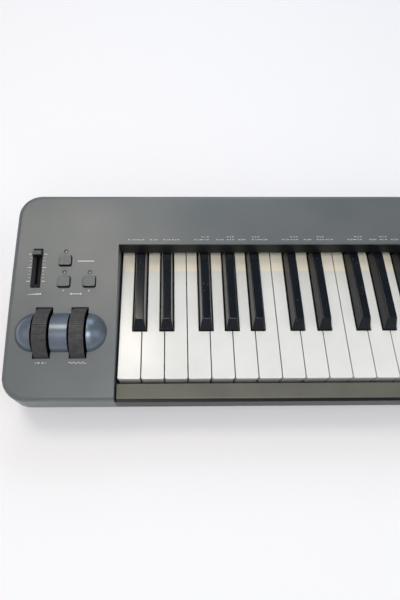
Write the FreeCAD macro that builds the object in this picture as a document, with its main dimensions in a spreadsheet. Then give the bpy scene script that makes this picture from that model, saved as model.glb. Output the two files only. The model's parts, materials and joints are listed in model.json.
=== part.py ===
import FreeCAD, Part
import math
import os

import Sketcher

# A 61-key MIDI keyboard. Millimetres, +Z up, +X along the keys towards the treble, +Y towards the back.
# The origin is under the middle of the case, on the surface that the feet stand on.

RIB_COUNT = 76

doc = FreeCAD.newDocument("MidiKeyboard")
sheet = doc.addObject("Spreadsheet::Sheet", "Sizes")
X_AXIS = FreeCAD.Vector(1, 0, 0)


# ---------------------------------------------------------------- sizes

class Size:
    """A number that also keeps the sheet expression it comes from, so that geometry is written once."""

    def __init__(self, value, text):
        self.value = float(value)
        self.text = text

    def __add__(self, other):
        return Size(self.value + number(other), f"({self.text} + {words(other)})")

    def __radd__(self, other):
        return Size(number(other) + self.value, f"({words(other)} + {self.text})")

    def __sub__(self, other):
        return Size(self.value - number(other), f"({self.text} - {words(other)})")

    def __rsub__(self, other):
        return Size(number(other) - self.value, f"({words(other)} - {self.text})")

    def __mul__(self, other):
        return Size(self.value * number(other), f"({self.text} * {words(other)})")

    def __rmul__(self, other):
        return Size(number(other) * self.value, f"({words(other)} * {self.text})")

    def __truediv__(self, other):
        return Size(self.value / number(other), f"({self.text} / {words(other)})")

    def __neg__(self):
        return Size(-self.value, f"(0 - {self.text})")


def number(item):
    return item.value if isinstance(item, Size) else float(item)


def words(item):
    return item.text if isinstance(item, Size) else repr(float(item))


def root(item):
    return Size(math.sqrt(item.value), f"sqrt({item.text})")


def size(name, value):
    """Write one driving dimension into the sheet and return it."""
    size.row += 1
    sheet.set(f"A{size.row}", name)
    sheet.set(f"B{size.row}", str(value))
    sheet.setAlias(f"B{size.row}", name)
    return Size(value, f"Sizes.{name}")


size.row = 0

# case
width = size("width", 978)
depth = size("depth", 221)
front_top = size("front_top", 57)
back_top = size("back_top", 88)
crown = size("crown", 3)
wall = size("wall", 2.6)
corner_radius = size("corner_radius", 24)
shoulder_radius = size("shoulder_radius", 5.5)
split_height = size("split_height", 28)
well_gap = size("well_gap", 1.75)
front_wall_top = size("front_wall_top", 48)
panel_depth = size("panel_depth", 63)
lip_gap = size("lip_gap", 13.75)
lip_slope = size("lip_slope", 0.17)
# bottom case
foot_height = size("foot_height", 5)
foot_radius = size("foot_radius", 9)
floor = size("floor_thickness", 2.5)
tray_inset = size("tray_inset", 6)
flange_inset = size("flange_inset", 0.8)
flange_thickness = size("flange_thickness", 2.5)
tray_edge = size("tray_edge", 3)
# keys
key_plane = size("key_plane", 54)
key_front = size("key_front", 21.7)
key_pitch = size("key_pitch", 23.5)
key_gap = size("key_gap", 1)
white_head = size("white_head", 50.1)
key_depth = size("key_depth", 12)
key_front_drop = size("key_front_drop", 18)
key_top = size("key_top_thickness", 2.6)
key_skirt = size("key_skirt", 1.6)
key_corner = size("key_corner", 1.8)
key_edge = size("key_edge", 0.5)
black_width = size("black_width", 13.8)
black_top_width = size("black_top_width", 8.8)
black_height = size("black_height", 12)
black_setback = size("black_setback", 9.2)
black_edge = size("black_edge", 1)
pivot_back = size("pivot_back", 26.5)
pivot_drop = size("pivot_drop", 5)
hinge_half = size("hinge_half", 7)
hinge_relief = size("hinge_relief", 1.4)
rod_radius = size("rod_radius", 1.5)
rod_clearance = size("rod_clearance", 0.05)
key_swing = size("key_swing_sine", 0.0576)
# chassis
chassis_lift = size("chassis_lift", 3.5)
chassis_plate = size("chassis_plate", 1.5)
rail_top = size("rail_thickness", 2)
rail_depth = size("rail_depth", 10)
felt = size("felt_thickness", 1.4)
stop_clearance = size("stop_clearance", 0.1)
tongue_width = size("tongue_width", 4)
tongue = size("tongue_thickness", 2.5)
upright = size("upright_thickness", 2.4)
spring_radius = size("spring_radius", 1.6)
board = size("board_thickness", 1.6)
# controls
cowl_radius = size("cowl_radius", 21.1)
cowl_sink = size("cowl_sink", 8.1)
cowl_straight = size("cowl_straight", 52.3)
cowl_wall = size("cowl_wall", 2)
cowl_margin = size("cowl_margin", 6.05)
cowl_flange = size("cowl_flange", 4)
block_clearance = size("block_clearance", 0.45)
cowl_from_front = size("cowl_from_front", 65.3)
wheel_spacing = size("wheel_spacing", 35.8)
wheel_radius = size("wheel_radius", 27.5)
wheel_sink = size("wheel_sink", 12.5)
wheel_width = size("wheel_width", 14.2)
wheel_slot = size("wheel_slot", 17.4)
cowl_slot_extra = size("cowl_slot_extra", 1.2)
rib_groove = size("rib_groove_radius", 0.7)
axle_radius = size("axle_radius", 3)
axle_out = size("axle_out", 5.5)
ear = size("ear_thickness", 2)
running = size("running_clearance", 0.05)
button_width = size("button_width", 12.8)
button_depth = size("button_depth", 11.1)
button_rise = size("button_rise", 2.9)
button_gap = size("button_gap", 0.6)
button_corner = size("button_corner", 1.9)
button_travel = size("button_travel", 0.8)
column_from_left = size("column_from_left", 55.4)
column_pitch = size("column_pitch", 26.1)
octave_from_front = size("octave_from_front", 118)
function_from_front = size("function_from_front", 141.3)
led_offset = size("led_offset", 10.4)
led_radius = size("led_radius", 1.5)
led_recess = size("led_recess", 0.75)
led_sink = size("led_sink", 1.2)
board_drop = size("board_drop", 12)
fader_from_left = size("fader_from_left", 26.3)
fader_from_front = size("fader_from_front", 133)
fader_slot_width = size("fader_slot_width", 10.2)
fader_slot_length = size("fader_slot_length", 43)
fader_travel = size("fader_travel", 30)
cap_width = size("cap_width", 10.6)
cap_length = size("cap_length", 7)
cap_rise = size("cap_rise", 5.6)
cap_lift = size("cap_lift", 0.5)
# fasteners and rear sockets
boss_radius = size("boss_radius", 4)
shank_radius = size("shank_radius", 1.4)
thread_clearance = size("thread_clearance", 0.05)
head_radius = size("head_radius", 2.7)
head_height = size("head_height", 1.8)
main_board_height = size("main_board_height", 34)

# derived places
left = -width / 2
front = -depth / 2
back = depth / 2
cowl_x = left + wall + cowl_margin + cowl_radius + cowl_straight / 2
first_key = cowl_x + cowl_straight / 2 + cowl_radius + cowl_flange + block_clearance + wall + well_gap
last_key = first_key + key_pitch * 36
well_left = first_key - well_gap
well_right = last_key + well_gap
well_front = front + wall
lip = back - panel_depth
lip_bottom = key_plane + lip_gap
keys_y = front + key_front
blacks_y = keys_y + white_head + key_gap
pivot_y = back - pivot_back
pivot_z = key_plane - pivot_drop
floor_top = foot_height + floor
plate_bottom = floor_top + chassis_lift
plate_top = plate_bottom + chassis_plate
half_gap = key_gap / 2

# crowned panel: a circle through the front and back top edges that rises by the crown between them
rise = back_top - front_top
chord = root(depth * depth + rise * rise)
arc_radius = (chord * chord / 4 + crown * crown) / (2 * crown)
arc_y = (arc_radius - crown) * rise / chord
arc_z = (front_top + back_top) / 2 - (arc_radius - crown) * depth / chord


def panel_z(y, inset=0):
    """Height of the panel's surface, or of a surface inset below it, at a place in depth."""
    reach = arc_radius - inset
    return arc_z + root(reach * reach - (arc_y - y) * (arc_y - y))


# ---------------------------------------------------------------- helpers

def bind(item, path, value):
    item.setExpression(path, words(value))


def place(item, x=0, y=0, z=0):
    bind(item, "Placement.Base.x", x)
    bind(item, "Placement.Base.y", y)
    bind(item, "Placement.Base.z", z)
    return item


def on_panel(item, x, y, sink=0):
    """Lay an item built about its own origin on the panel: its XY plane is tangent to the surface there."""
    sine = (arc_y - y) / arc_radius
    cosine = root(1 - sine * sine)
    angle = math.degrees(math.asin(sine.value))
    item.Placement = FreeCAD.Placement(FreeCAD.Vector(), FreeCAD.Rotation(X_AXIS, angle))
    place(item, x, y + sine * sink, panel_z(y) - cosine * sink)
    item.setExpression("Placement.Rotation.Angle", f"asin({sine.text})")
    return item


def box(name, low, high):
    item = doc.addObject("Part::Box", name)
    for prop, a, b in zip(("Length", "Width", "Height"), low, high):
        bind(item, prop, b - a)
    return place(item, *low)


TURNS = {"x": (FreeCAD.Vector(0, 1, 0), 90), "y": (X_AXIS, -90), "z": (X_AXIS, 0)}


def rod(name, axis, start, radius, length):
    """A cylinder that runs from its start along +X, +Y or +Z."""
    item = doc.addObject("Part::Cylinder", name)
    bind(item, "Radius", radius)
    bind(item, "Height", length)
    vector, angle = TURNS[axis]
    item.Placement = FreeCAD.Placement(FreeCAD.Vector(), FreeCAD.Rotation(vector, angle))
    return place(item, *start)


def fuse(name, items):
    item = doc.addObject("Part::MultiFuse", name)
    item.Shapes = items
    return item


def cut(name, base, tool):
    item = doc.addObject("Part::Cut", name)
    item.Base = base
    item.Tool = tool
    return item


def group(name, items):
    item = doc.addObject("Part::Compound", name)
    item.Links = items
    return item


def copies(name, master, places):
    """A group of the same piece at each place."""
    items = [place(group(f"{name}_copy", [master]), *spot) for spot in places]
    return group(name, items)


def origin_plane(body, role):
    return [item for item in body.Origin.OriginFeatures if item.Role == role][0]


def new_body(name):
    return doc.addObject("PartDesign::Body", name)


def pin_point(sketch, geometry, end, point):
    for kind, value in zip(("DistanceX", "DistanceY"), point):
        index = sketch.addConstraint(Sketcher.Constraint(kind, -1, 1, geometry, end, number(value)))
        bind(sketch, f"Constraints[{index}]", value)


def new_sketch(body, role, lift):
    sketch = body.newObject("Sketcher::SketchObject", f"{body.Name}_sketch")
    sketch.AttachmentSupport = (origin_plane(body, role), [""])
    sketch.MapMode = "FlatFace"
    bind(sketch, "AttachmentOffset.Base.z", lift)
    return sketch


def polygon(body, role, points, lift=0):
    sketch = new_sketch(body, role, lift)
    corners = [FreeCAD.Vector(number(a), number(b), 0) for a, b in points]
    count = len(corners)
    for index, corner in enumerate(corners):
        sketch.addGeometry(Part.LineSegment(corner, corners[(index + 1) % count]), False)
    for index, point in enumerate(points):
        sketch.addConstraint(Sketcher.Constraint("Coincident", index, 2, (index + 1) % count, 1))
        pin_point(sketch, index, 1, point)
    return sketch


def circle(body, role, centre, radius, lift=0):
    sketch = new_sketch(body, role, lift)
    middle = FreeCAD.Vector(number(centre[0]), number(centre[1]), 0)
    sketch.addGeometry(Part.Circle(middle, FreeCAD.Vector(0, 0, 1), number(radius)), False)
    pin_point(sketch, 0, 3, centre)
    index = sketch.addConstraint(Sketcher.Constraint("Radius", 0, number(radius)))
    bind(sketch, f"Constraints[{index}]", radius)
    return sketch


def pad(body, sketch, length, reverse=False):
    feature = body.newObject("PartDesign::Pad", f"{body.Name}_pad")
    feature.Profile = sketch
    feature.Reversed = reverse
    bind(feature, "Length", length)
    return feature


def pocket(body, sketch, length, reverse=False):
    """Cut a sketch out of the body, and stop if it removed nothing."""
    before = solid_of(body).Volume
    feature = body.newObject("PartDesign::Pocket", f"{body.Name}_pocket")
    feature.Profile = sketch
    feature.Reversed = reverse
    bind(feature, "Length", length)
    doc.recompute([feature])
    if feature.Shape.Volume > before - 0.01:
        raise ValueError(f"a pocket in {body.Label} cuts nothing")
    return feature


def solid_of(body):
    doc.recompute()
    return body.Tip.Shape


def round_edges(body, radius, wanted):
    """Fillet the edges of the body's tip whose curve passes the test."""
    shape = solid_of(body)
    names = [f"Edge{i + 1}" for i, edge in enumerate(shape.Edges) if wanted(edge)]
    base = body.Tip
    feature = body.newObject("PartDesign::Fillet", f"{body.Name}_round")
    feature.Base = (base, names)
    bind(feature, "Radius", radius)
    body.Tip = feature
    return feature


def is_upright(edge):
    low, high = edge.BoundBox.ZMin, edge.BoundBox.ZMax
    return high - low > 0.999 * edge.Length and edge.Length > 0.5


def prism(name, role, outline, start, length):
    body = new_body(name)
    pad(body, polygon(body, role, outline, start), length)
    return body


def rectangle(x0, y0, x1, y1):
    return [(x0, y0), (x1, y0), (x1, y1), (x0, y1)]


def rounded_block(name, inset, radius, low, high):
    """A block with the case's plan, inset all round, with rounded upright corners."""
    outline = rectangle(left + inset, front + inset, -left - inset, back - inset)
    body = prism(name, "XY_Plane", outline, low, high - low)
    round_edges(body, radius, is_upright)
    return body


finished = []


def finish(item, label):
    item.Label = label
    finished.append(item)
    return item


# ---------------------------------------------------------------- case

def case_block(name, inset, low):
    """The case's outer form, or the same form inset by a wall: straight sides under a crowned top."""
    body = new_body(name)
    sketch = new_sketch(body, "YZ_Plane", left + inset)
    reach = arc_radius - inset
    near, far = front + inset, back - inset
    corners = [(near, low), (far, low), (far, panel_z(far, inset)), (near, panel_z(near, inset))]
    points = [FreeCAD.Vector(number(a), number(b), 0) for a, b in corners]
    centre = FreeCAD.Vector(arc_y.value, arc_z.value, 0)
    angles = [math.atan2(p.y - centre.y, p.x - centre.x) for p in (points[2], points[3])]
    sketch.addGeometry(Part.LineSegment(points[0], points[1]), False)
    sketch.addGeometry(Part.LineSegment(points[1], points[2]), False)
    full = Part.Circle(centre, FreeCAD.Vector(0, 0, 1), reach.value)
    sketch.addGeometry(Part.ArcOfCircle(full, angles[0], angles[1]), False)
    sketch.addGeometry(Part.LineSegment(points[3], points[0]), False)
    for one, end, other, start in ((0, 2, 1, 1), (1, 2, 2, 1), (2, 2, 3, 1), (3, 2, 0, 1)):
        sketch.addConstraint(Sketcher.Constraint("Coincident", one, end, other, start))
    for geometry, corner in ((0, corners[0]), (1, corners[1]), (2, corners[2]), (3, corners[3])):
        pin_point(sketch, geometry, 1, corner)
    index = sketch.addConstraint(Sketcher.Constraint("Radius", 2, reach.value))
    bind(sketch, f"Constraints[{index}]", reach)
    pad(body, sketch, width - 2 * inset)
    round_edges(body, corner_radius - inset, is_upright)
    round_edges(body, shoulder_radius - inset, lambda e: e.BoundBox.ZMin > front_top.value - 12)
    return body


def cowl_form(name, shrink):
    """A capsule along X about its own centre."""
    radius = cowl_radius - shrink
    bar = rod(f"{name}_bar", "x", (-cowl_straight / 2, 0, 0), radius, cowl_straight)
    balls = []
    for side in (-1, 1):
        ball = doc.addObject("Part::Sphere", f"{name}_ball")
        bind(ball, "Radius", radius)
        balls.append(place(ball, cowl_straight / 2 * side))
    return fuse(name, [bar] + balls)


cowl_y = front + cowl_from_front
column_x = left + column_from_left
octave_y = front + octave_from_front
function_y = front + function_from_front
fader_x = left + fader_from_left
fader_y = front + fader_from_front
buttons = {
    "function_button": (column_x, function_y),
    "octave_down_button": (column_x, octave_y),
    "octave_up_button": (column_x + column_pitch, octave_y),
}

back_boss_y = back - tray_inset - wall - boss_radius + 0.5
cheek_x = (well_right + wall - left - wall) / 2
case_bosses = [(well_left + 24 + (well_right - well_left - 60) * k / 4, back_boss_y) for k in range(5)]
case_bosses += [(cheek_x, y) for y in (front + 30, lip - 20)]
case_bosses += [(left + 22, front + 22), (well_left - 14, front + 22), (well_left - 10, lip - 2)]
side_boss_x = left + 14
case_bosses += [(side_boss_x, back - 74)]
slip_bosses = [(well_left + 30 + (well_right - well_left - 60) * k / 4, front + 11.6) for k in range(5)]
boss_split = split_height + 2


# half the length of a wheel's slot where the wheel passes the panel
wheel_opening = root(wheel_radius * wheel_radius - wheel_sink * wheel_sink) + 1.6


def panel_openings():
    """Cutters for the wheels, the cowl, the buttons, the lights and the fader, laid on the panel."""
    tools = []
    seat = group("cowl_seat", [cowl_form("cowl_seat_form", -0.15)])
    tools.append(on_panel(seat, cowl_x, cowl_y, cowl_sink))
    for side in (-1, 1):
        slot = box("wheel_slot_box", (-wheel_slot / 2, -wheel_opening, -12), (wheel_slot / 2, wheel_opening, 12))
        tools.append(on_panel(group("wheel_slot_cut", [slot]), cowl_x + wheel_spacing / 2 * side, cowl_y))
    bx, by = button_width / 2 + button_gap, button_depth / 2 + button_gap
    hole = prism("button_hole_form", "XY_Plane", rectangle(-bx, -by, bx, by), -12, 24)
    round_edges(hole, button_corner + button_gap, is_upright)
    for x, y in buttons.values():
        tools.append(on_panel(group("button_hole", [hole]), x, y))
        lamp = rod("lamp_hole_rod", "z", (0, 0, -12), led_radius + led_recess, 24)
        tools.append(on_panel(group("lamp_hole", [lamp]), x, y + led_offset))
    half_w, half_l = fader_slot_width / 2, fader_slot_length / 2
    slot = box("fader_slot_box", (-half_w, -half_l, -12), (half_w, half_l, 12))
    tools.append(on_panel(group("fader_slot_cut", [slot]), fader_x, fader_y))
    return tools


switch_x = left + size("switch_from_left", 30)
inlet_x = left + size("inlet_from_left", 46)
usb_x = left + size("usb_from_left", 61)
midi_x = left + size("midi_from_left", 80.5)
pedal_x = left + size("pedal_from_left", 100)
rear_z = main_board_height + board


def rear_openings():
    near, far = back - wall - 1, back + 1
    tools = [box("switch_hole", (switch_x - 6.6, near, rear_z - 0.3), (switch_x + 6.6, far, rear_z + 13.1))]
    tools.append(rod("inlet_hole", "y", (inlet_x, near, rear_z + 6), 3.6, wall + 2))
    tools.append(box("usb_hole", (usb_x - 6.2, near, rear_z - 0.3), (usb_x + 6.2, far, rear_z + 11.2)))
    tools.append(rod("midi_hole", "y", (midi_x, near, rear_z + 10), 8.1, wall + 2))
    tools.append(rod("pedal_hole", "y", (pedal_x, near, rear_z + 7), 4.9, wall + 2))
    cable_low = (well_left - wall - 1, contact_y - 16, 0)
    tools.append(box("cable_notch", cable_low, (well_left + 1, contact_y - 8, board_bottom + board + 1.2)))
    return tools


def make_top_case():
    outer = case_block("case_outer", 0 * wall, split_height)
    inner = case_block("case_inner", wall, split_height - 2)
    top = back_top + 20
    lean = (top - lip_bottom) * lip_slope
    walls_end = lip + wall + (panel_z(lip) - lip_bottom) * lip_slope
    lip_outline = [(lip, lip_bottom), (lip + wall, lip_bottom), (lip + wall + lean, top), (lip + lean, top)]
    keep = [box("well_wall_left", (well_left - wall, front, 0), (well_left, walls_end, top)),
            box("well_wall_right", (well_right, front, 0), (well_right + wall, walls_end, top)),
            prism("lip_wall", "YZ_Plane", lip_outline, well_left - 0.5, well_right - well_left + 1)]
    for x, y in case_bosses:
        keep.append(rod("top_boss", "z", (x, y, boss_split), boss_radius, top - boss_split))
    hollow = cut("case_hollow", inner, fuse("case_keep", keep))
    shell = cut("case_shell", outer, hollow)
    well_outline = [(well_front, 0), (lip, 0), (lip, lip_bottom), (lip + lean, top), (well_front, top)]
    well = prism("key_well", "YZ_Plane", well_outline, well_left, well_right - well_left)
    shell = cut("case_well", shell, well)
    trim = box("front_trim", (well_left, front - 1, front_wall_top), (well_right, well_front + 0.5, top))
    shell = cut("case_trim", shell, trim)
    pilots = [rod("pilot", "z", (x, y, boss_split - 1), shank_radius + thread_clearance, 12)
              for x, y in case_bosses]
    shell = cut("case_panel", shell, fuse("panel_cuts", panel_openings()))
    return cut("top_case", shell, group("case_holes", pilots + rear_openings()))


def make_bottom_case():
    tray = rounded_block("tray_form", tray_inset, corner_radius - tray_inset, foot_height, split_height)
    round_edges(tray, tray_edge, lambda e: e.BoundBox.ZMax < foot_height.value + 0.01)
    flange = rounded_block("tray_flange", flange_inset, corner_radius - flange_inset,
                           split_height - flange_thickness, split_height)
    inner_inset = tray_inset + wall
    hollow = rounded_block("tray_hollow", inner_inset, corner_radius - inner_inset, floor_top, split_height + 1)
    shell = cut("tray_shell", fuse("tray_solid", [tray, flange]), hollow)
    posts = []
    holes = []
    for x, y in case_bosses + slip_bosses:
        posts.append(rod("case_post", "z", (x, y, foot_height + 1), boss_radius, boss_split - foot_height - 1))
        holes.append(rod("head_well", "z", (x, y, foot_height - 1), head_radius + 0.3, 18))
        holes.append(rod("shank_hole", "z", (x, y, foot_height), shank_radius + 0.2, 40))
    for x, y in chassis_spots:
        posts.append(rod("chassis_post", "z", (x, y, foot_height + 1), 3.5, plate_bottom - foot_height - 1))
        holes.append(rod("chassis_pilot", "z", (x, y, foot_height + 1.3),
                         shank_radius + thread_clearance, 10))
    for x, y in main_board_spots:
        posts.append(rod("board_post", "z", (x, y, foot_height + 1), 3, main_board_height - foot_height - 1))
        holes.append(rod("board_pilot", "z", (x, y, main_board_height - 8),
                         shank_radius + thread_clearance, 12))
    return cut("bottom_case", fuse("tray_posts", [shell] + posts), fuse("tray_holes", holes))


def screw(name, length):
    """A pan-head screw whose seat is at its own origin, with the head above."""
    head = rod(f"{name}_head", "z", (0, 0, 0), head_radius, head_height)
    shank = rod(f"{name}_shank", "z", (0, 0, -number(length)), shank_radius, length)
    return fuse(name, [head, shank])


# ---------------------------------------------------------------- keys

# each black key's middle: the white boundary that it stands over, and its offset from that boundary
BLACK_OFFSETS = ((1, -2.3), (2, 2.3), (4, -3.9), (5, -0.2), (6, 3.3))
black_centres = [key_pitch * count + size(f"black_offset_{count}", value) for count, value in BLACK_OFFSETS]
# each white key of an octave with the black key on its left and on its right
WHITE_SIDES = (("c", None, 0), ("d", 0, 1), ("e", 1, None), ("f", None, 2), ("g", 2, 3), ("a", 3, 4),
               ("b", 4, None))
BLACK_NAMES = ("cs", "ds", "fs", "gs", "as")
octave_width = key_pitch * 7
hinge_front = pivot_y - hinge_half
hinge_back = pivot_y + hinge_half
key_bottom = key_plane - key_depth
white_rail_y = keys_y + 13
black_rail_y = blacks_y + 10


def drop_at(y):
    """How far a fully pressed key's underside has sunk at a place in depth."""
    return (pivot_y - y) * key_swing


def rail_level(y):
    """Top of a stop rail: the felt on it just meets the pressed key."""
    return key_bottom - drop_at(y) - stop_clearance * 3 - felt


def add_hinge_and_tongue(body, x0, x1, rail_y):
    """The hinge block on the rod, and the tongue whose foot hooks under the stop rail."""
    block = rectangle(x0 + hinge_relief, hinge_front - 2, x1 - hinge_relief, hinge_back)
    pad(body, polygon(body, "XY_Plane", block, key_bottom), key_depth)
    middle = (x0 + x1) / 2
    foot_top = rail_level(rail_y) - rail_top - felt - stop_clearance
    tongue_y = rail_y + rail_depth + 2
    ceiling = key_plane - key_top + 0.5
    outline = [(rail_y + 4, foot_top - 3), (tongue_y + tongue, foot_top - 3), (tongue_y + tongue, ceiling),
               (tongue_y, ceiling), (tongue_y, foot_top), (rail_y + 4, foot_top)]
    pad(body, polygon(body, "YZ_Plane", outline, middle - tongue_width / 2), tongue_width)
    doc.recompute()
    bore = circle(body, "YZ_Plane", (pivot_y, pivot_z), rod_radius + rod_clearance, x0 - 1)
    pocket(body, bore, x1 - x0 + 2, reverse=True)


def white_key_body(name, start, left_black, right_black):
    """One white key about its own left boundary, which lies at start in its octave: hollow, with a front apron."""
    body = new_body(name)
    head0, head1 = half_gap, key_pitch - half_gap
    half_black = black_width / 2 + key_gap
    tail0 = black_centres[left_black] + half_black - start if left_black is not None else head0
    tail1 = black_centres[right_black] - half_black - start if right_black is not None else head1
    shoulder = keys_y + white_head

    def outline(inset, y0, y1):
        points = [(head0 + inset, y0), (head1 - inset, y0)]
        if right_black is not None:
            points += [(head1 - inset, shoulder - inset), (tail1 - inset, shoulder - inset)]
        points += [(tail1 - inset, y1), (tail0 + inset, y1)]
        if left_black is not None:
            points += [(tail0 + inset, shoulder - inset), (head0 + inset, shoulder - inset)]
        return points

    pad(body, polygon(body, "XY_Plane", outline(0, keys_y, hinge_front), key_bottom), key_depth)
    apron = rectangle(head0, keys_y, head1, keys_y + key_skirt + 0.6)
    pad(body, polygon(body, "XY_Plane", apron, key_plane - key_front_drop), key_front_drop - key_depth + 1)
    round_edges(body, key_corner, lambda e: is_upright(e) and e.BoundBox.YMax < keys_y.value + 0.1)
    round_edges(body, key_edge, lambda e: e.BoundBox.ZMin > key_plane.value - 0.01
                and e.BoundBox.YMin < hinge_front.value - 1)
    doc.recompute()
    hollow = outline(key_skirt, keys_y + key_skirt + 0.6, hinge_front - 2)
    pocket(body, polygon(body, "XY_Plane", hollow, key_bottom), key_depth - key_top, reverse=True)
    add_hinge_and_tongue(body, tail0, tail1, white_rail_y)
    return body


def black_key_body():
    """One black key about its own centre line: a bevelled cap on a hollow lever."""
    body = new_body("black_key")
    base, top = black_width / 2, black_top_width / 2
    cap_back = lip + wall + 2
    level = key_plane - 0.5
    section = [(-base, level), (base, level), (top, key_plane + black_height), (-top, key_plane + black_height)]
    pad(body, polygon(body, "XZ_Plane", section, -cap_back), cap_back - blacks_y)
    doc.recompute()
    wedge = [(blacks_y - 1, key_plane + 1), (blacks_y, key_plane + 1),
             (blacks_y + black_setback, key_plane + black_height + 1), (blacks_y - 1, key_plane + black_height + 1)]
    pocket(body, polygon(body, "YZ_Plane", wedge, -base - 1), black_width + 2, reverse=True)
    round_edges(body, black_edge, lambda e: e.BoundBox.ZMax > key_plane.value + 2
                and e.BoundBox.YMin < cap_back.value - 0.1)
    pad(body, polygon(body, "XY_Plane", rectangle(-base, blacks_y, base, hinge_front), key_bottom),
        key_depth - 0.5)
    doc.recompute()
    hollow = rectangle(-base + key_skirt, blacks_y + key_skirt, base - key_skirt, hinge_front - 2)
    pocket(body, polygon(body, "XY_Plane", hollow, key_bottom), key_depth - key_top - 0.5, reverse=True)
    add_hinge_and_tongue(body, -base, base, black_rail_y)
    return body


def make_keys():
    """Two octaves of single keys, then the rest in one group of white keys and one of black keys."""
    masters = {name: white_key_body(f"white_{name}", key_pitch * index, a, b)
               for index, (name, a, b) in enumerate(WHITE_SIDES)}
    masters["top"] = white_key_body("white_top", 0, None, None)
    black = black_key_body()
    doc.recompute()
    whites, blacks = [], []
    for octave in range(5):
        start = first_key + octave_width * octave
        for index, (name, _, _) in enumerate(WHITE_SIDES):
            whites.append((f"key_{name}{octave + 1}", masters[name], start + key_pitch * index))
        for index, name in enumerate(BLACK_NAMES):
            blacks.append((f"key_{name}{octave + 1}", black, start + black_centres[index]))
    whites.append(("key_c6", masters["top"], last_key - key_pitch))
    for label, master, x in whites[:14] + blacks[:10]:
        finish(place(group(label, [master]), x), label)
    for label, rest in (("upper_white_keys", whites[14:]), ("upper_black_keys", blacks[10:])):
        finish(group(label, [place(group(name, [master]), x) for name, master, x in rest]), label)


# ---------------------------------------------------------------- key chassis

chassis_spots = [(first_key + (last_key - first_key) * k / 4 + side, y)
                 for k, side in ((0, 12), (1, 0), (2, 0), (3, 0), (4, -12))
                 for y in (keys_y + 6, pivot_y - 18)]
main_board_spots = [(left + x, back - y) for x, y in ((14, 15), (14, 53), (103, 31), (103, 53))]
upright_spots = [first_key + octave_width * k for k in range(6)]
upright_spots += [first_key + octave_width * k + key_pitch * 3 for k in range(5)] + [last_key]
contact_y = pivot_y - 70
contact_level = key_bottom - drop_at(contact_y) - stop_clearance * 3
pad_height = 4.7
board_bottom = contact_level - pad_height - board


def key_centres():
    """The middle of every key's tail."""
    spots = []
    for octave in range(5):
        start = first_key + octave_width * octave
        edges = []
        for index, (_, a, b) in enumerate(WHITE_SIDES):
            half_black = black_width / 2 + key_gap
            low = black_centres[a] + half_black if a is not None else key_pitch * index + half_gap
            high = black_centres[b] - half_black if b is not None else key_pitch * (index + 1) - half_gap
            edges.append((low + high) / 2)
        spots += [start + x for x in edges + black_centres]
    return spots + [last_key - key_pitch / 2]


def make_chassis():
    near, far = first_key - upright / 2, last_key + upright / 2
    parts = [box("chassis_base", (near, keys_y - 1.5, plate_bottom), (far, hinge_back + 0.2, plate_top))]
    for y in (white_rail_y, black_rail_y):
        level = rail_level(y)
        parts.append(box("rail_flange", (near, y, level - rail_top), (far, y + rail_depth, level)))
        parts.append(box("rail_web", (near, y, plate_top - 0.5), (far, y + 1.5, level)))
    for x in upright_spots:
        parts.append(box("rod_upright", (x - upright / 2, pivot_y - 5, plate_top - 0.5),
                         (x + upright / 2, pivot_y + 4, pivot_z + 4)))
    for x, y in board_posts:
        parts.append(rod("board_post", "z", (x, y, plate_top - 0.5), 3, board_bottom - plate_top + 0.5))
    holes = [rod("rod_hole", "x", (near - 1, pivot_y, pivot_z), rod_radius + 0.02, far - near + 2)]
    holes += [rod("plate_hole", "z", (x, y, plate_bottom - 1), shank_radius + 0.2, 5) for x, y in chassis_spots]
    holes += [rod("post_hole", "z", (x, y, board_bottom - 7), shank_radius + thread_clearance, 9)
              for x, y in board_posts]
    finish(cut("key_chassis", fuse("chassis_solid", parts), group("chassis_holes", holes)), "key_chassis")
    finish(rod("pivot_rod", "x", (near - 0.3, pivot_y, pivot_z), rod_radius, far - near + 0.6), "pivot_rod")


def make_action_parts(centres):
    near, far = first_key - upright / 2, last_key + upright / 2
    strips = []
    for y in (white_rail_y, black_rail_y):
        level = rail_level(y)
        strips.append(box("felt_on", (near, y + 1, level), (far, y + rail_depth - 1, level + felt)))
        strips.append(box("felt_under", (near, y + 3, level - rail_top - felt),
                          (far, y + rail_depth - 1, level - rail_top)))
    finish(group("key_stop_felts", strips), "key_stop_felts")
    coil = rod("spring_coil", "z", (0, 0, 0), spring_radius, key_bottom - plate_top - 0.05)
    finish(copies("key_springs", coil, [(x, hinge_back - 2.4, plate_top) for x in centres]), "key_springs")
    middle = (near + far) / 2
    halves = [box("contact_half", (a, contact_y - 16, board_bottom), (b, contact_y + 16, board_bottom + board))
              for a, b in ((near + 4, middle - 0.5), (middle + 0.5, far - 4))]
    holes = [rod("contact_hole", "z", (x, y, board_bottom - 1), shank_radius + 0.2, 5) for x, y in board_posts]
    finish(cut("contact_board", group("contact_halves", halves), group("contact_holes", holes)), "contact_board")
    dome = doc.addObject("Part::Cone", "contact_dome")
    bind(dome, "Radius1", 4)
    bind(dome, "Radius2", 2.2)
    bind(dome, "Height", pad_height)
    finish(copies("contact_pads", dome, [(x, contact_y, board_bottom + board) for x in centres]), "contact_pads")


board_posts = [(first_key + (last_key - first_key) * k / 6 + shift, contact_y + 11)
               for k, shift in ((0, 12), (1, 0), (2, 0), (3, -6), (3, 6), (4, 0), (5, 0), (6, -12))]


# ---------------------------------------------------------------- controls

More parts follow.
